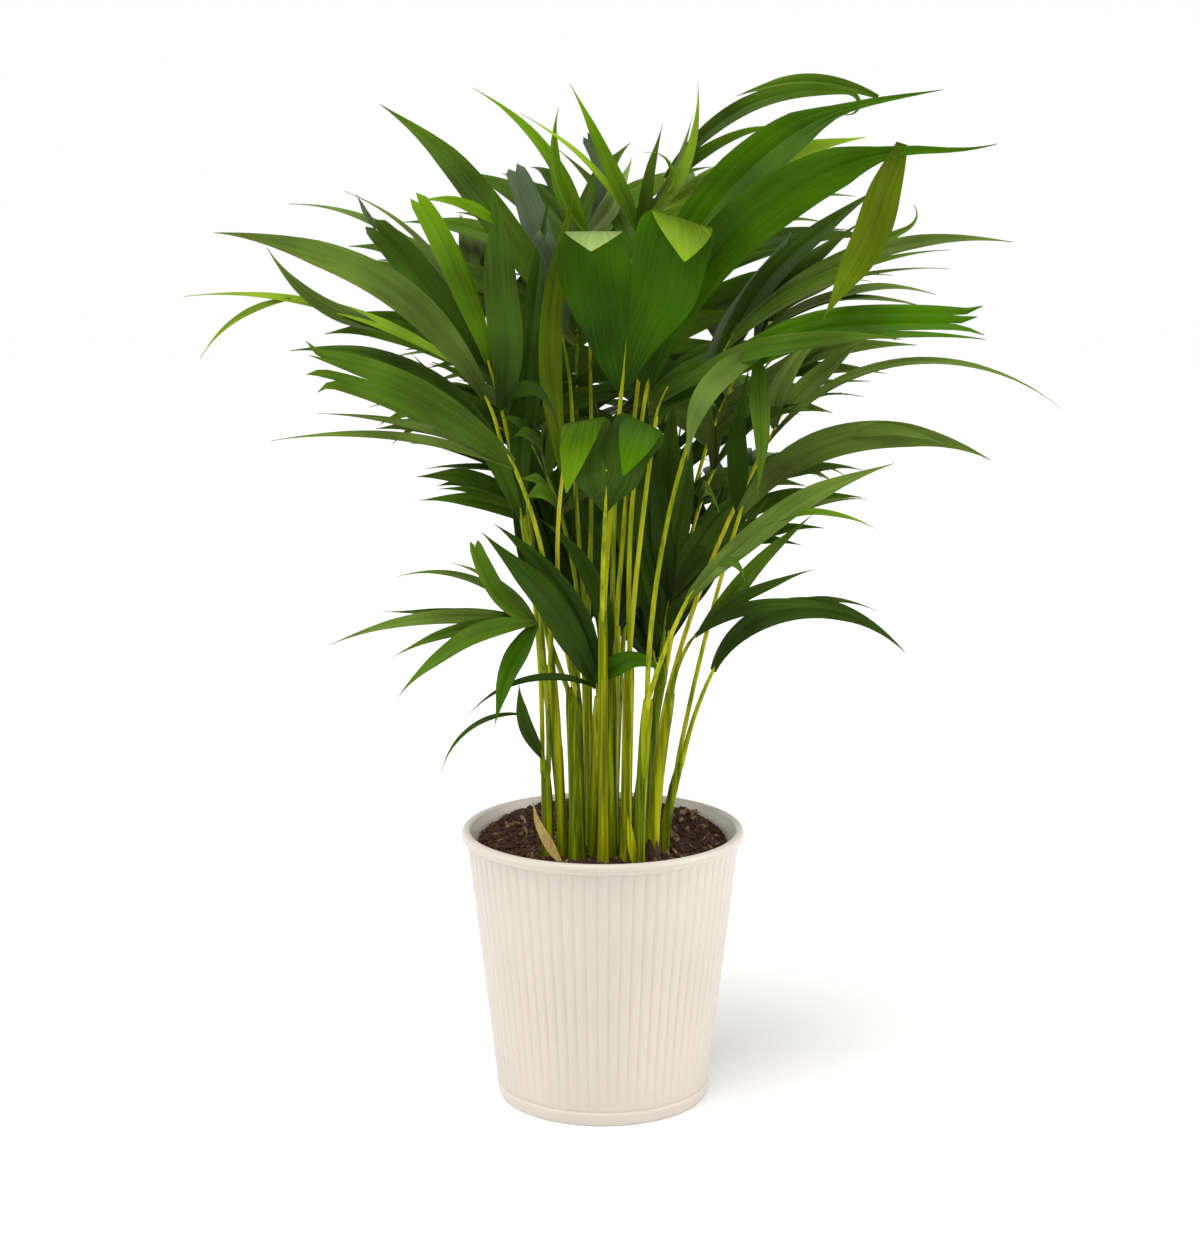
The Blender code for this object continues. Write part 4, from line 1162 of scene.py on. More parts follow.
def soil_crumbs(settings, share, seed, stretch):
    """Loose crumbs as one mesh: ball shapes of twenty faces, each squashed and turned its own way."""
    chance = random.Random(seed)
    ball = bmesh.new()
    bmesh.ops.create_icosphere(ball, subdivisions=1, radius=1)
    corners = np.array([corner.co for corner in ball.verts])
    faces = np.array([[corner.index for corner in face.verts] for face in ball.faces])
    ball.free()
    all_corners, all_faces = [], []
    for number in range(round(settings.crumbs * share)):
        reach = (SOIL_RADIUS - CRUMB_MARGIN) * math.sqrt(chance.random())
        turn = chance.uniform(0, 2 * math.pi)
        right, away = reach * math.cos(turn), reach * math.sin(turn)
        size = settings.crumb_size / MM * chance.uniform(*CRUMB_SIZES) ** 1.5
        shape = np.array([chance.uniform(low, high) for low, high in CRUMB_SHAPE])
        shape[0] *= stretch
        jitter = np.array([[chance.uniform(*CRUMB_EDGES)] for _ in corners])
        turned_by = Quaternion([chance.gauss(0, 1) for _ in range(4)]).normalized().to_matrix()
        placed = (corners * jitter * shape * size) @ np.array(turned_by).T
        placed += (right, away, soil_height(right, away) + size * 0.25)
        all_faces.append(faces + number * len(corners))
        all_corners.append(placed * MM)
    mesh = bpy.data.meshes.new("crumbs")
    mesh.from_pydata(np.concatenate(all_corners).tolist(), [], np.concatenate(all_faces).tolist())
    return mesh


class PALM_OT_soil(bpy.types.Operator):
    """Makes the soil: a rough bed with crumbs and fibres on it"""

    bl_idname = "palm.soil"
    bl_label = "Soil"

    def execute(self, context):
        settings = context.scene.palm_soil
        inside = POT_FOOT_RADIUS - POT_WALL - GAP
        rings = [(SOIL_RADIUS * ring / SOIL_RINGS, SOIL_LEVEL) for ring in range(SOIL_RINGS, -1, -1)]
        mesh = turned([(0, POT_FLOOR + GAP), (inside, POT_FLOOR + GAP), *rings], SOIL_COLUMNS)
        for corner in mesh.verts:
            if corner.co.z < SOIL_LEVEL / 2 * MM:
                continue
            edge = corner.co.xy.normalized() * SOIL_RADIUS
            corner.co.xy *= (inner_radius(soil_height(*edge)) - GAP) / SOIL_RADIUS
            corner.co.z = soil_height(corner.co.x / MM, corner.co.y / MM) * MM
        dark = potting_soil("moist_peat", "#1E130B", "#553A24")
        brown = potting_soil("dry_peat", "#382A1A", "#755C40")
        tan = potting_soil("bark_fibre", "#5E4A30", "#9A8058")
        piece("soil_bed", mesh, [dark], ["soil"])
        piece("soil_crumbs", soil_crumbs(settings, 0.72, 5, 1.0), [dark], [])
        piece("soil_dry_crumbs", soil_crumbs(settings, 0.22, 6, 1.0), [brown], [])
        piece("soil_fibres", soil_crumbs(settings, 0.06, 7, 2.6), [tan], [])
        return {"FINISHED"}


CANE_STEPS = 44
CANE_COLUMNS = 20
CANE_TOP_TAPER = 18.0
CANE_TOP_SHARE = 0.8
CANE_NARROWING = 0.12
CANE_SUNK = 7.0
SHEATH_STEP = 0.3
SHEATH_RISES = (60, 110)
CANE_RIBS = ((3, 0.08), (9, 0.03))


def cane_relief(name, turn, height):
    """How far a cane's skin stands out at this turn round it and height up it: ribs and a sheath's edge."""
    own = random.Random(f"{SEED} {name} relief")
    edge = own.uniform(0, 2 * math.pi) + height / own.uniform(*SHEATH_RISES)
    ribs = sum(rise * math.sin(count * turn + own.uniform(0, 6)) for count, rise in CANE_RIBS)
    round_from_edge = ((turn - edge) % (2 * math.pi)) / (2 * math.pi)
    return ribs + SHEATH_STEP * (1 - round_from_edge) ** 3


def bridged(mesh, before, corners):
    """Joins a new ring of corners to the ring before it. Returns the new ring's edges."""
    ring = list({edge for corner in corners for edge in corner.link_edges})
    if before:
        bmesh.ops.bridge_loops(mesh, edges=before + ring)
    return ring


def cane_mesh(name, row):
    """A cane with its flared foot, ribs and sheath edge, drawn in at the top round its stalks."""
    spine, widths = cane_points(row), cane_widths(row)
    height = row[6]
    mesh = bmesh.new()
    before = None
    for step in range(CANE_STEPS + 1):
        share = step / CANE_STEPS
        point = along(spine, share)
        at = share * (CANE_RINGS - 1)
        low = min(int(at), CANE_RINGS - 2)
        width = widths[low] + (widths[low + 1] - widths[low]) * (at - low)
        width *= 1 - CANE_NARROWING * share
        left = height * (1 - share)
        if left < CANE_TOP_TAPER:
            width *= CANE_TOP_SHARE + (1 - CANE_TOP_SHARE) * math.sin(left / CANE_TOP_TAPER * math.pi / 2)
        if step == 0:
            point = point - Vector((0, 0, CANE_SUNK))
        made = bmesh.ops.create_circle(
            mesh, cap_ends=False, radius=width / 2 * MM, segments=CANE_COLUMNS,
            matrix=Matrix.Translation(point * MM))
        for corner in made["verts"]:
            out = corner.co - point * MM
            turn = math.atan2(out.y, out.x)
            corner.co += out.normalized() * cane_relief(name, turn, height * share) * MM
        before = bridged(mesh, before, made["verts"])
    bmesh.ops.holes_fill(mesh, edges=mesh.edges)
    bmesh.ops.recalc_face_normals(mesh, faces=mesh.faces)
    return mesh


class PALM_OT_canes(bpy.types.Operator):
    """Makes the canes, each with the relief of its leaf sheaths, and a young sheath's tip beside them"""

    bl_idname = "palm.canes"
    bl_label = "Canes"

    def execute(self, context):
        greens = (
            stem_skin("cane_green", "#5C6A02", "#8A940A", "#384602", 0.4),
            # A darker copy of the cane green, painted shade for the canes at the back
            stem_skin("cane_shaded_green", "#4E5E02", "#6A7808", "#2E3C02", 0.4),
            stem_skin("cane_yellow_green", "#747A02", "#A0A40A", "#4E5802", 0.4),
        )
        for number, (name, row) in enumerate(CANES.items()):
            # The canes at the back take the darker green as painted shade
            skin = greens[1] if "back" in name else greens[number % 2 * 2]
            piece(name + "_skin", cane_mesh(name, row), [skin], [name], sharp=60)
        tip = BladeMesh()
        root, angles, length, width = SHEATH_TIP
        leaf = standing_blade(Vector(root), [direction(angle, 0) for angle in angles], length, width)
        chance = random.Random(SEED)
        add_leaf(tip, blade_lines(leaf, chance, 0), leaf, chance, context.scene.palm_leaf)
        piece("sheath_tip", tip.mesh(), [greens[2], greens[2]], [], sharp=50)
        return {"FINISHED"}


class BladeMesh:
    """Strips of leaflets gathered into one mesh, with an upper and an under side."""

    def __init__(self):
        self.corners = []
        self.places = []
        self.spreads = []
        self.faces = []
        self.under = []
        self.count = 0

    def add(self, upper, lower, place, own):
        """Adds a thin closed strip of rings and columns: its places in millimetres and its own number."""
        rings, columns = upper.shape[:2]
        faces, under = strip_faces(rings, columns)
        spread = np.empty((rings, columns, 2))
        spread[..., 0] = np.linspace(0, 1, rings)[:, None]
        spread[..., 1] = own
        self.faces.append(faces + self.count)
        self.under.append(under)
        self.corners.append(np.stack([upper, lower]).reshape(-1, 3))
        self.places.append(np.stack([place, place]).reshape(-1, 2))
        self.spreads.append(np.stack([spread, spread]).reshape(-1, 2))
        self.count += 2 * rings * columns

    def mesh(self):
        """The gathered strips as a mesh in metres, with the places and the spreads as UV maps."""
        corners = np.concatenate(self.corners) * MM
        faces = np.concatenate(self.faces)
        made = bpy.data.meshes.new("blades")
        made.from_pydata(corners.tolist(), [], faces.tolist())
        made.polygons.foreach_set("material_index", np.concatenate(self.under))
        for name, values in (("blade", self.places), ("spread", self.spreads)):
            layer = made.uv_layers.new(name=name)
            layer.data.foreach_set("uv", np.concatenate(values)[faces.reshape(-1)].reshape(-1))
        return made


@lru_cache(maxsize=None)
def strip_faces(rings, columns):
    """The faces of a thin closed strip, and 1 for each that is on the under side."""
    upper = np.arange(rings * columns).reshape(rings, columns)
    lower = upper + rings * columns
    quads = []

    def sheet(a, b, c, d):
        quads.append(np.stack([a, b, c, d], axis=-1).reshape(-1, 4))

    sheet(upper[:-1, :-1], upper[:-1, 1:], upper[1:, 1:], upper[1:, :-1])
    sheet(lower[:-1, :-1], lower[1:, :-1], lower[1:, 1:], lower[:-1, 1:])
    sheet(upper[:-1, 0], upper[1:, 0], lower[1:, 0], lower[:-1, 0])
    sheet(upper[:-1, -1], lower[:-1, -1], lower[1:, -1], upper[1:, -1])
    sheet(upper[0, :-1], lower[0, :-1], lower[0, 1:], upper[0, 1:])
    sheet(upper[-1, :-1], upper[-1, 1:], lower[-1, 1:], lower[-1, :-1])
    under = [np.full(len(part), number == 1, np.int32) for number, part in enumerate(quads)]
    return np.concatenate(quads), np.concatenate(under)


def half_width(leaf, share):
    """Half a leaflet's width at a share of its length: the solid's outline with a finer drip tip."""
    half = leaf["width"] / 2 * breadth(leaf["shape"], share)
    start, length, narrowing = TIP_NARROWINGS.get(leaf["shape"], (0, 1, 0))
    half *= 1 - narrowing * max(0.0, min(1.0, (share - start) / length))
    return max(half, NARROWEST_HALF)


def blade_lines(leaf, chance, wave):
    """The middle line, the half-width line and the upward line of a blade, ring by ring, as arrays."""
    points = np.array(leaf["points"])
    sides = np.array(leaf["sides"])
    ways = np.gradient(points, axis=0)
    ways /= np.linalg.norm(ways, axis=1, keepdims=True)
    shares = np.linspace(0, 1, len(points))
    halves = np.array([half_width(leaf, share) for share in shares])
    ups = np.cross(sides, ways)
    swing = np.sin(shares * math.pi) * leaf["width"] * wave
    beat = chance.uniform(0, 6.3) + shares * chance.uniform(5, 9)
    points = points + sides * (swing * np.sin(beat))[:, None] + ups * (swing * np.cos(beat * 1.3))[:, None]
    return points, sides * halves[:, None], ups


def lobe_lines(lines, leaf, rib, rib_length):
    """A blade's lines with its inner edge drawn to the frond's rib, which the lobe is grown to."""
    points, half, ups = lines
    shares = np.linspace(0, 1, len(points))
    beside = shares * leaf["length"] / rib_length
    ribs = np.array([along(rib, min(1.0, leaf["place"] + share)) for share in beside])
    inner = np.sign(np.sum((ribs - points) * half, axis=1)[len(shares) // 2])
    free = np.clip((beside - LOBE_LEAVES_RIB) / LOBE_LOOSENING, 0, 1)[:, None]
    near = ribs * (1 - free) + (points + half * inner) * free
    far = points - half * inner
    return (near + far) / 2, (near - far) / 2 * inner, ups


def resampled(lines, shares):
    """A blade's lines at these shares of its length."""
    steps = np.linspace(0, 1, len(lines[0]))
    return [np.stack([np.interp(shares, steps, axis) for axis in part.T], axis=1) for part in lines]


def curled(lines, start, degrees):
    """A blade's lines with its end, from this share of its length, curled in the plane facing the front."""
    shares = np.linspace(0, 1, CURL_STEPS)
    middle, half, ups = resampled(lines, shares)
    moves = np.diff(middle, axis=0)
    for index, share in enumerate(shares):
        if share <= start:
            continue
        turn = math.radians(degrees) * ((share - start) / (1 - start)) ** CURL_EASE
        turned_by = np.array(Matrix.Rotation(turn, 3, FRONT_FACING))
        half[index], ups[index] = turned_by @ half[index], turned_by @ ups[index]
        moves[index - 1] = turned_by @ moves[index - 1]
    middle[1:] = middle[0] + np.cumsum(moves, axis=0)
    return middle, half, ups


def strip_plan(leaf, chance):
    """How a blade is split: (from, to, place of the split, share reached, spread) for each strip."""
    shape = leaf["shape"]
    count = 2 * round(leaf["width"] / (RAGGED_STRIP_WIDTH if shape == "ragged" else STRIP_WIDTH) / 2)
    if count < 2:
        return [(-1, 1, 1.0, 1.0, 0.0)]
    cuts = [-1 + 2 * number / count for number in range(count + 1)]
    deepest = chance.randrange(1, count) if count > 2 else 0
    plan = []
    for number, (low, high) in enumerate(zip(cuts, cuts[1:])):
        outer = number in (0, count - 1)
        split, reach, spread = 1.0, 1.0, 0.0
        if shape == "ragged":
            split, reach = chance.uniform(*RAGGED_SPLITS), chance.uniform(*RAGGED_REACHES)
            spread = abs(low + high) / 2 * chance.uniform(*RAGGED_SPREADS)
            if number == deepest:
                split = DEEPEST_SPLIT
        elif shape == "blunt":
            split, reach = chance.uniform(*BLUNT_SPLITS), chance.uniform(*BLUNT_REACHES)
        elif shape != "lobe" and outer and count > 2 and chance.random() < EDGE_SPLIT_CHANCE:
            split, reach, spread = chance.uniform(*EDGE_SPLITS), chance.uniform(*EDGE_REACHES), EDGE_SPREAD
        plan.append((low, high, split, reach, spread))
    return plan


def add_leaf(blades, lines, leaf, chance, settings):
    """Adds one leaflet's strips, which follow its lines, to its tone's blades."""
    widths = np.linalg.norm(lines[1], axis=1)
    steps = np.linspace(0, 1, len(widths))
    plan = strip_plan(leaf, chance)
    fold = settings.fold * chance.uniform(*FOLDS) * (FLAT_LOBE if leaf["shape"] == "lobe" else 1.0)
    pleat = settings.pleat / MM if len(plan) > 1 else 0.0
    shift = np.array([chance.uniform(0, PATTERN_SHIFT), chance.uniform(0, PATTERN_SHIFT)])
    own = chance.random()
    spans = SINGLE_STRIP_SPANS if len(plan) == 1 else STRIP_SPANS
    column = np.linspace(0, 1, spans + 1)
    for low, high, split, reach, spread in plan:
        shares = steps * reach
        line, wide, up = resampled(lines, shares)
        full = np.interp(shares, steps, widths)
        free = np.clip((shares - split) / max(reach - split, 1e-6), 0, 1) if split < reach else shares * 0
        inset = 1 - STRIP_END_NARROWING * free ** STRIP_END_EASE
        centre = (low + high) / 2
        u = centre + (low + (high - low) * column[None, :] - centre) * inset[:, None]
        u = u + (np.sign(centre) * spread * free ** 2)[:, None]
        lift = fold * np.abs(u) * full[:, None]
        lift += pleat * np.sin(column * math.pi)[None, :] * np.clip(full / 6, 0, 1)[:, None]
        lift += (free ** 2 * chance.uniform(*STRIP_LIFTS) * leaf["length"])[:, None]
        upper = line[:, None] + wide[:, None] * u[..., None] + up[:, None] * lift[..., None]
        lower = upper - up[:, None] * BLADE_THICKNESS
        along_it = np.broadcast_to((shares * leaf["length"])[:, None], u.shape)
        place = np.stack([u * full[:, None], along_it], axis=-1)
        blades.add(upper, lower, place + shift, own)


def add_flap(blades, lines, leaf, chance):
    """Adds the folded end of a blade: from the blade's end it bulges forward and hangs to its tip."""
    middle, half, _ = lines
    front, tip = np.array(FRONT_FACING), np.array(leaf["points"][-1])
    first, second = middle[-1] - half[-1], middle[-1] + half[-1]
    if np.cross(second - first, tip - middle[-1]) @ front < 0:
        first, second = second, first
    share = np.linspace(0, 1, FLAP_COLUMNS)[None, :, None]
    down = np.linspace(0, FLAP_END, LEAF_STEPS + 1)[:, None, None]
    line = first + (second - first) * share
    bend = line * (1 - FLAP_BEND) + tip * FLAP_BEND + front * chance.uniform(*FLAP_BULGE)
    bend += (second - first) * (share - 0.5) * FLAP_ROUNDING
    upper = line * (1 - down) ** 2 + bend * 2 * down * (1 - down) + tip * down ** 2
    place = np.empty((*upper.shape[:2], 2))
    place[..., 0] = ((share - 0.5) * (1 - down) * leaf["width"])[..., 0]
    place[..., 1] = (down * leaf["length"])[..., 0]
    place += chance.uniform(0, PATTERN_SHIFT)
    blades.add(upper, upper - front * BLADE_THICKNESS, place, chance.random())


def add_midrib(ribs, lines, length):
    """Adds the raised line along the middle of a blade's upper side."""
    middle, half, ups = lines
    sides = half / np.maximum(np.linalg.norm(half, axis=1), 1e-6)[:, None]
    shares = np.linspace(0, 1, len(middle))[:, None, None]
    column = np.array([-1.0, 0.0, 1.0])[None, :, None]
    width = MIDRIB_WIDTH / 2 * (1 - MIDRIB_TAPER * shares)
    rise = (MIDRIB_RISE * (1 - np.abs(column)) - 0.02) * (1 - 0.5 * shares)
    upper = middle[:, None] + sides[:, None] * column * width + ups[:, None] * (rise + 0.1)
    place = np.zeros((len(middle), 3, 2))
    place[..., 1] = shares[..., 0] * length
    ribs.add(upper, upper - ups[:, None] * MIDRIB_RISE, place, 0.5)


def finer(leaf, rib, chance):
    """The leaflets that one leaflet of the rule stands for: the leaflet and a narrower neighbour."""
    turn = Quaternion(leaf["facing"], math.radians(chance.choice((-1, 1)) * chance.uniform(*BESIDE_TURNS)))
    beside = dict(leaf, width=leaf["width"] * BESIDE_SHARE)
    beside["ways"] = tuple(turn @ way for way in leaf["grown_ways"])
    root = along(rib, min(1.0, leaf["place"] + BESIDE_PLACE))
    changes = [chance.uniform(*ends) for ends in BESIDE_CHANGES]
    return [leaf, grown_leaf(beside, root, *changes)]


def frond_leaflets(name, tones, ribs, settings):
    """Adds a frond's leaflets to the blades of their tones. Yields the tones it used."""
    row, points, leaves = plant()[name]
    chance = random.Random(f"{SEED} {name} finer")
    rib = points[STALK_STEPS // 2:]
    placed = name in FROND_TONES
    grown = []
    for number, leaf in enumerate(leaves):
        lines = None
        if leaf:
            tone = FROND_TONES[name][number] if placed else chance.choice(
                CORE_SHADE_TONES if name in CORE_FRONDS else RULED_TONES)
            yield tone
        if leaf and leaf["shape"] == "flap":
            add_flap(tones[tone], grown[leaf["on"] - 1], leaf, chance)
        elif leaf:
            for fine in [leaf] if placed else finer(leaf, rib, chance):
                lines = blade_lines(fine, chance, settings.wave)
                if leaf["shape"] == "lobe":
                    lines = lobe_lines(lines, fine, rib, row[4])
                for start, degrees in TIP_CURLS.get((name, number), ()):
                    lines = curled(lines, start, degrees)
                add_leaf(tones[tone], lines, fine, chance, settings)
            if name in RIBBED_FRONDS:
                add_midrib(ribs, lines, leaf["length"])
        grown.append(lines)


class PALM_OT_leaflets(bpy.types.Operator):
    """Makes the leaflets, one piece for each tone, and the raised rib of the youngest one"""

    bl_idname = "palm.leaflets"
    bl_label = "Leaflets"

    def execute(self, context):
        settings = context.scene.palm_leaf
        tones = {tone: BladeMesh() for tone in LEAF_COLOURS}
        owners = {tone: set() for tone in LEAF_COLOURS}
        ribs = BladeMesh()
        for name in plant():
            for tone in frond_leaflets(name, tones, ribs, settings):
                owners[tone].add(name)
        for tone, blades in tones.items():
            colour = linear(LEAF_COLOURS[tone])
            skins = [
                leaf_skin(f"leaf_{tone}", colour, 0.40),
                leaf_skin(f"leaf_{tone}_under", underside(colour), 0.55),
            ]
            piece(f"leaflets_{tone}", blades.mesh(), skins, sorted(owners[tone]), sharp=50)
        rib_skin = leaf_skin("leaf_rib", linear("#6C8418"), 0.42)
        piece("leaflet_ribs", ribs.mesh(), [rib_skin, rib_skin], [], sharp=50)
        return {"FINISHED"}


STALK_SUNK_WIDTH = 2.4
STALK_FOOT_WIDTH = 3.6
BLADE_FOOT_WIDTH = 2.7
STALK_TIP_WIDTH = 1.1
STALK_SUNK = 18.0


def stalk_curve(names):
    """The stalks and ribs of these fronds as one curve of round limbs."""
    curve = bpy.data.curves.new("stalks", "CURVE")
    curve.dimensions = "3D"
    curve.bevel_depth = MM
    curve.bevel_resolution = 2
    curve.use_fill_caps = True
    half = STALK_STEPS // 2
    for name in names:
        row, points, _ = plant()[name]
        cane = CANES[row[0]]
        sunk = [along(cane_points(cane), 1 - STALK_SUNK / cane[6]), *points]
        spline = curve.splines.new("POLY")
        spline.points.add(len(sunk) - 1)
        for index, point in enumerate(sunk):
            if index == 0:
                width = STALK_SUNK_WIDTH
            elif index <= half:
                width = STALK_FOOT_WIDTH + (BLADE_FOOT_WIDTH - STALK_FOOT_WIDTH) * index / half
            else:
                width = BLADE_FOOT_WIDTH + (STALK_TIP_WIDTH - BLADE_FOOT_WIDTH) * (index - half) / (half + 1)
            spline.points[index].co = (*(point * MM), 1)
            spline.points[index].radius = width / 2
    return curve


class PALM_OT_stalks(bpy.types.Operator):
    """Makes the stalks and ribs of the fronds, one piece for each tone: golden, a lime copy that is painted
    light and a green copy that is painted shade
    """

    bl_idname = "palm.stalks"
    bl_label = "Stalks"

    def execute(self, context):
        skins = {
            "golden": stem_skin("stalk_golden", "#A09A20", "#BAB63C", "#7E8018", 0.4),
            "lime": stem_skin("stalk_painted_light", "#8E9610", "#ACAC24", "#6C7A0E", 0.4),
            "green": stem_skin("stalk_painted_shade", "#66740C", "#828E1A", "#485A0A", 0.4),
        }
        groups = {tone: [] for tone in skins}
        for name in plant():
            # Lime is painted light and green is painted shade
            tone = "golden" if name in GOLDEN_STALKS else "lime" if name in LIT_STALKS else "green"
            groups[tone].append(name)
        for tone, names in groups.items():
            curve = stalk_curve(names)
            holder = bpy.data.objects.new("stalk_curve", curve)
            mesh = bpy.data.meshes.new_from_object(holder)
            bpy.data.objects.remove(holder)
            bpy.data.curves.remove(curve)
            mesh.materials.clear()
            piece(f"stalks_{tone}", mesh, [skins[tone]], names, sharp=60)
        return {"FINISHED"}


class PALM_OT_husk(bpy.types.Operator):
    """Makes the dry scale leaf at the foot of the left canes and the brown sheath of one cane"""

    bl_idname = "palm.husk"
    bl_label = "Dry leaves"

    def execute(self, context):
        settings = context.scene.palm_leaf
        dry = BladeMesh()
        chance = random.Random(SEED)
        leaf = husk_leaf()
        add_leaf(dry, blade_lines(leaf, chance, settings.wave), leaf, chance, settings)
        tan = dry_leaf("dry_scale_leaf", "#B59A58")
        piece("dry_scale_leaf", dry.mesh(), [tan, tan], ["husk"], sharp=50)
        brown = dry_leaf("dead_sheath", "#4A3620")
        piece("dead_sheath", sheath_mesh(*DEAD_SHEATH), [brown], [], sharp=60)
        return {"FINISHED"}


DEAD_SHEATH = ("cane_right_brown", 16)
DEAD_SHEATH_RINGS = 8
DEAD_SHEATH_TEARS = (0.45, 1.0)
DEAD_SHEATH_OUT = 0.55
DEAD_SHEATH_RIPPLE = 0.25
DEAD_SHEATH_THICKNESS = 0.3


def sheath_mesh(cane, height):
    """A thin torn sleeve round the foot of a cane."""
    row = CANES[cane]
    spine, widths = cane_points(row), cane_widths(row)
    chance = random.Random(cane)
    mesh = bmesh.new()
    before = None
    tears = [chance.uniform(*DEAD_SHEATH_TEARS) for _ in range(CANE_COLUMNS)]
    for step in range(DEAD_SHEATH_RINGS + 1):
        share = step / DEAD_SHEATH_RINGS
        made = bmesh.ops.create_circle(mesh, cap_ends=False, radius=1, segments=CANE_COLUMNS)
        for number, corner in enumerate(made["verts"]):
            up = height * share * (tears[number] if share > 0.5 else 1 - (1 - tears[number]) * share * 2)
            point = along(spine, min(1.0, up / row[6]))
            width = widths[0] + (widths[1] - widths[0]) * min(1.0, up / row[6] * 4)
            ripple = DEAD_SHEATH_RIPPLE * math.sin(number * 2.1 + share * 3)
            corner.co = (point + corner.co.normalized() * (width / 2 + DEAD_SHEATH_OUT + ripple)) * MM
        before = bridged(mesh, before, made["verts"])
    bmesh.ops.recalc_face_normals(mesh, faces=mesh.faces)
    bmesh.ops.solidify(mesh, geom=mesh.faces, thickness=DEAD_SHEATH_THICKNESS * MM)
    bmesh.ops.recalc_face_normals(mesh, faces=mesh.faces)
    return mesh


FLOOR_SIZE = 12.0
CAMERA_PLACE = (-0.002, -1.65, 0.64)
TOP_LIGHT_FROM = Vector((-0.2, -0.3, 0.93))
TOP_LIGHT_SPREAD = 50
SIDE_LIGHTS = {
    # name: place, aimed at, size, share of the side lights' power
    "left_light": ((-2.2, -0.5, 1.2), (0, 0, 0.35), 1.6, 1.0),
    "right_light": ((2.2, -0.4, 1.1), (0, 0, 0.35), 1.6, 1.8),
    "low_right_light": ((1.7, -0.9, 0.2), (0, 0, 0.09), 0.8, 0.15),
}


def studio_surround(settings):
    """A white surround, even at eye level, that gets dimmer overhead and behind the camera."""
    made = bpy.data.worlds.new("studio_surround")
    made.use_nodes = True
    tree = made.node_tree
    way = add(tree, "ShaderNodeTexCoord")
    parts = add(tree, "ShaderNodeSeparateXYZ", links={"Vector": way.outputs["Generated"]})
    level, overhead, front = settings.surround, settings.ceiling, settings.front
    shade = add(tree, "ShaderNodeValToRGB", links={"Fac": parts.outputs["Z"]}, stops=[
        (0.22, (level, level, level)), (0.7, (overhead, overhead, overhead))])
    away = add(tree, "ShaderNodeMath", {"operation": "MULTIPLY_ADD"}, {1: 0.5, 2: 0.5}, {
        0: parts.outputs["Y"]})
    behind = add(tree, "ShaderNodeValToRGB", links={"Fac": away.outputs["Value"]}, stops=[
        (0.12, (front, front, front)), (0.5, (1, 1, 1))])
    both = add(tree, "ShaderNodeVectorMath", {"operation": "MULTIPLY"}, links={
        0: shade.outputs["Color"], 1: behind.outputs["Color"]})
    tree.links.new(both.outputs["Vector"], tree.nodes["Background"].inputs["Color"])
    return made


def aimed(scene, name, lamp, way):
    """Adds a lamp that shines this way."""
    made = bpy.data.objects.new(name, lamp)
    made.rotation_euler = way.to_track_quat("-Z", "Y").to_euler()
    scene.collection.objects.link(made)
    return made


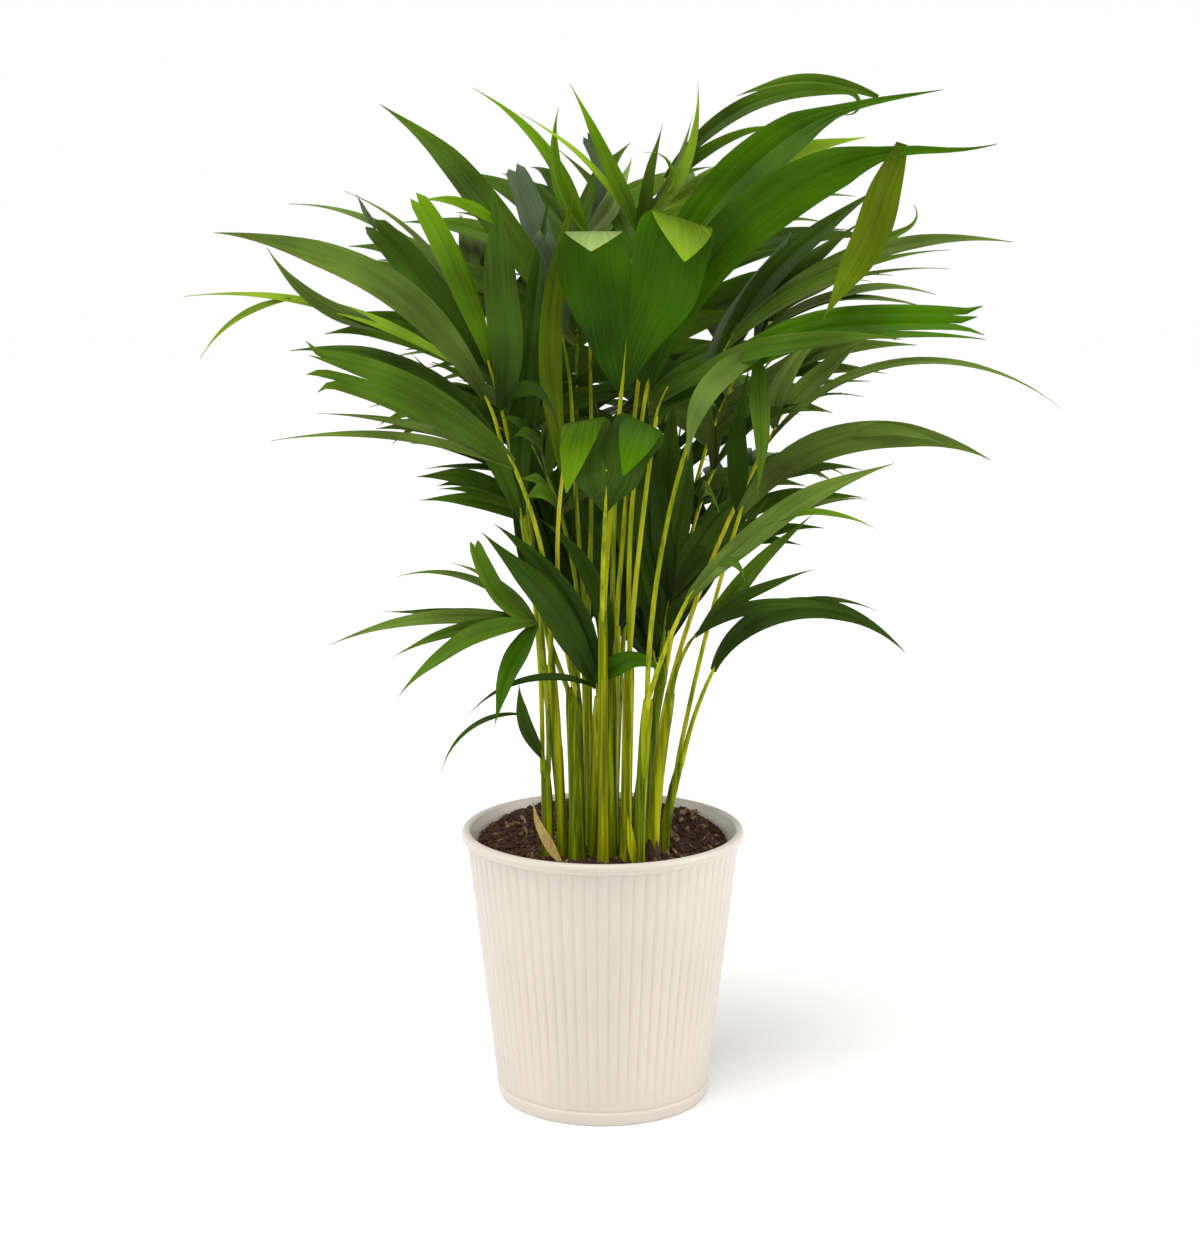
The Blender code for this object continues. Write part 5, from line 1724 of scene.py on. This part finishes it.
class PALM_OT_stage(bpy.types.Operator):
    """Makes the pale floor, the soft studio light and the camera"""

    bl_idname = "palm.stage"
    bl_label = "Stage"

    def execute(self, context):
        settings = context.scene.palm_stage
        scene = context.scene
        mesh = bmesh.new()
        bmesh.ops.create_grid(mesh, x_segments=1, y_segments=1, size=FLOOR_SIZE / 2)
        data = bpy.data.meshes.new("studio_floor")
        mesh.to_mesh(data)
        mesh.free()
        paper, _ = new_material("studio_paper", Base_Color=(*linear("#F9F9F9"), 1), Roughness=1.0)
        data.materials.append(paper)
        floor = bpy.data.objects.new("studio_floor", data)
        scene.collection.objects.link(floor)
        floor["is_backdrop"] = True
        for name, (place, aim, size, share) in SIDE_LIGHTS.items():
            lamp = bpy.data.lights.new(name, "AREA")
            lamp.shape = "DISK"
            lamp.size = size
            lamp.energy = settings.side_power * share
            stand = aimed(scene, name, lamp, Vector(aim) - Vector(place))
            stand.location = place
        lamp = bpy.data.lights.new("top_light", "SUN")
        lamp.energy = settings.top_light
        lamp.angle = math.radians(TOP_LIGHT_SPREAD)
        aimed(scene, "top_light", lamp, -TOP_LIGHT_FROM)
        scene.world = studio_surround(settings)
        lens = bpy.data.cameras.new("camera")
        lens.lens = settings.lens
        lens.sensor_width = 36
        camera = bpy.data.objects.new("camera", lens)
        camera.location = CAMERA_PLACE
        camera.rotation_euler = (math.pi / 2 - settings.pitch, 0, 0)
        scene.collection.objects.link(camera)
        scene.camera = camera
        scene.view_settings.view_transform = "Standard"
        return {"FINISHED"}


STEPS = (
    PALM_OT_pot, PALM_OT_soil, PALM_OT_canes, PALM_OT_husk, PALM_OT_stalks, PALM_OT_leaflets, PALM_OT_stage,
)
SETTINGS = {
    "palm_pot": PotSettings,
    "palm_soil": SoilSettings,
    "palm_leaf": LeafSettings,
    "palm_stage": StageSettings,
}


class PALM_PT_panel(bpy.types.Panel):
    """Lists the settings and the steps"""

    bl_idname = "PALM_PT_panel"
    bl_label = "Potted areca palm"
    bl_space_type = "VIEW_3D"
    bl_region_type = "UI"
    bl_category = "Palm"

    def draw(self, context):
        for name, group in SETTINGS.items():
            box = self.layout.box()
            for key in group.__annotations__:
                box.prop(getattr(context.scene, name), key)
        for step in STEPS:
            self.layout.operator(step.bl_idname)


def register():
    for group in SETTINGS.values():
        bpy.utils.register_class(group)
    for name, group in SETTINGS.items():
        setattr(bpy.types.Scene, name, PointerProperty(type=group))
    for step in STEPS:
        bpy.utils.register_class(step)
    bpy.utils.register_class(PALM_PT_panel)


def unregister():
    bpy.utils.unregister_class(PALM_PT_panel)
    for step in reversed(STEPS):
        bpy.utils.unregister_class(step)
    for name, group in SETTINGS.items():
        delattr(bpy.types.Scene, name)
        bpy.utils.unregister_class(group)


def main():
    """Makes every piece in order."""
    register()
    for step in STEPS:
        module, operator = step.bl_idname.split(".")
        getattr(getattr(bpy.ops, module), operator)()
    boxes = {"cad": CAD_BOX, "visual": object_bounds()}
    plain = {name: [list(corner) for corner in corners] for name, corners in boxes.items()}


if __name__ == "__main__":
    main()
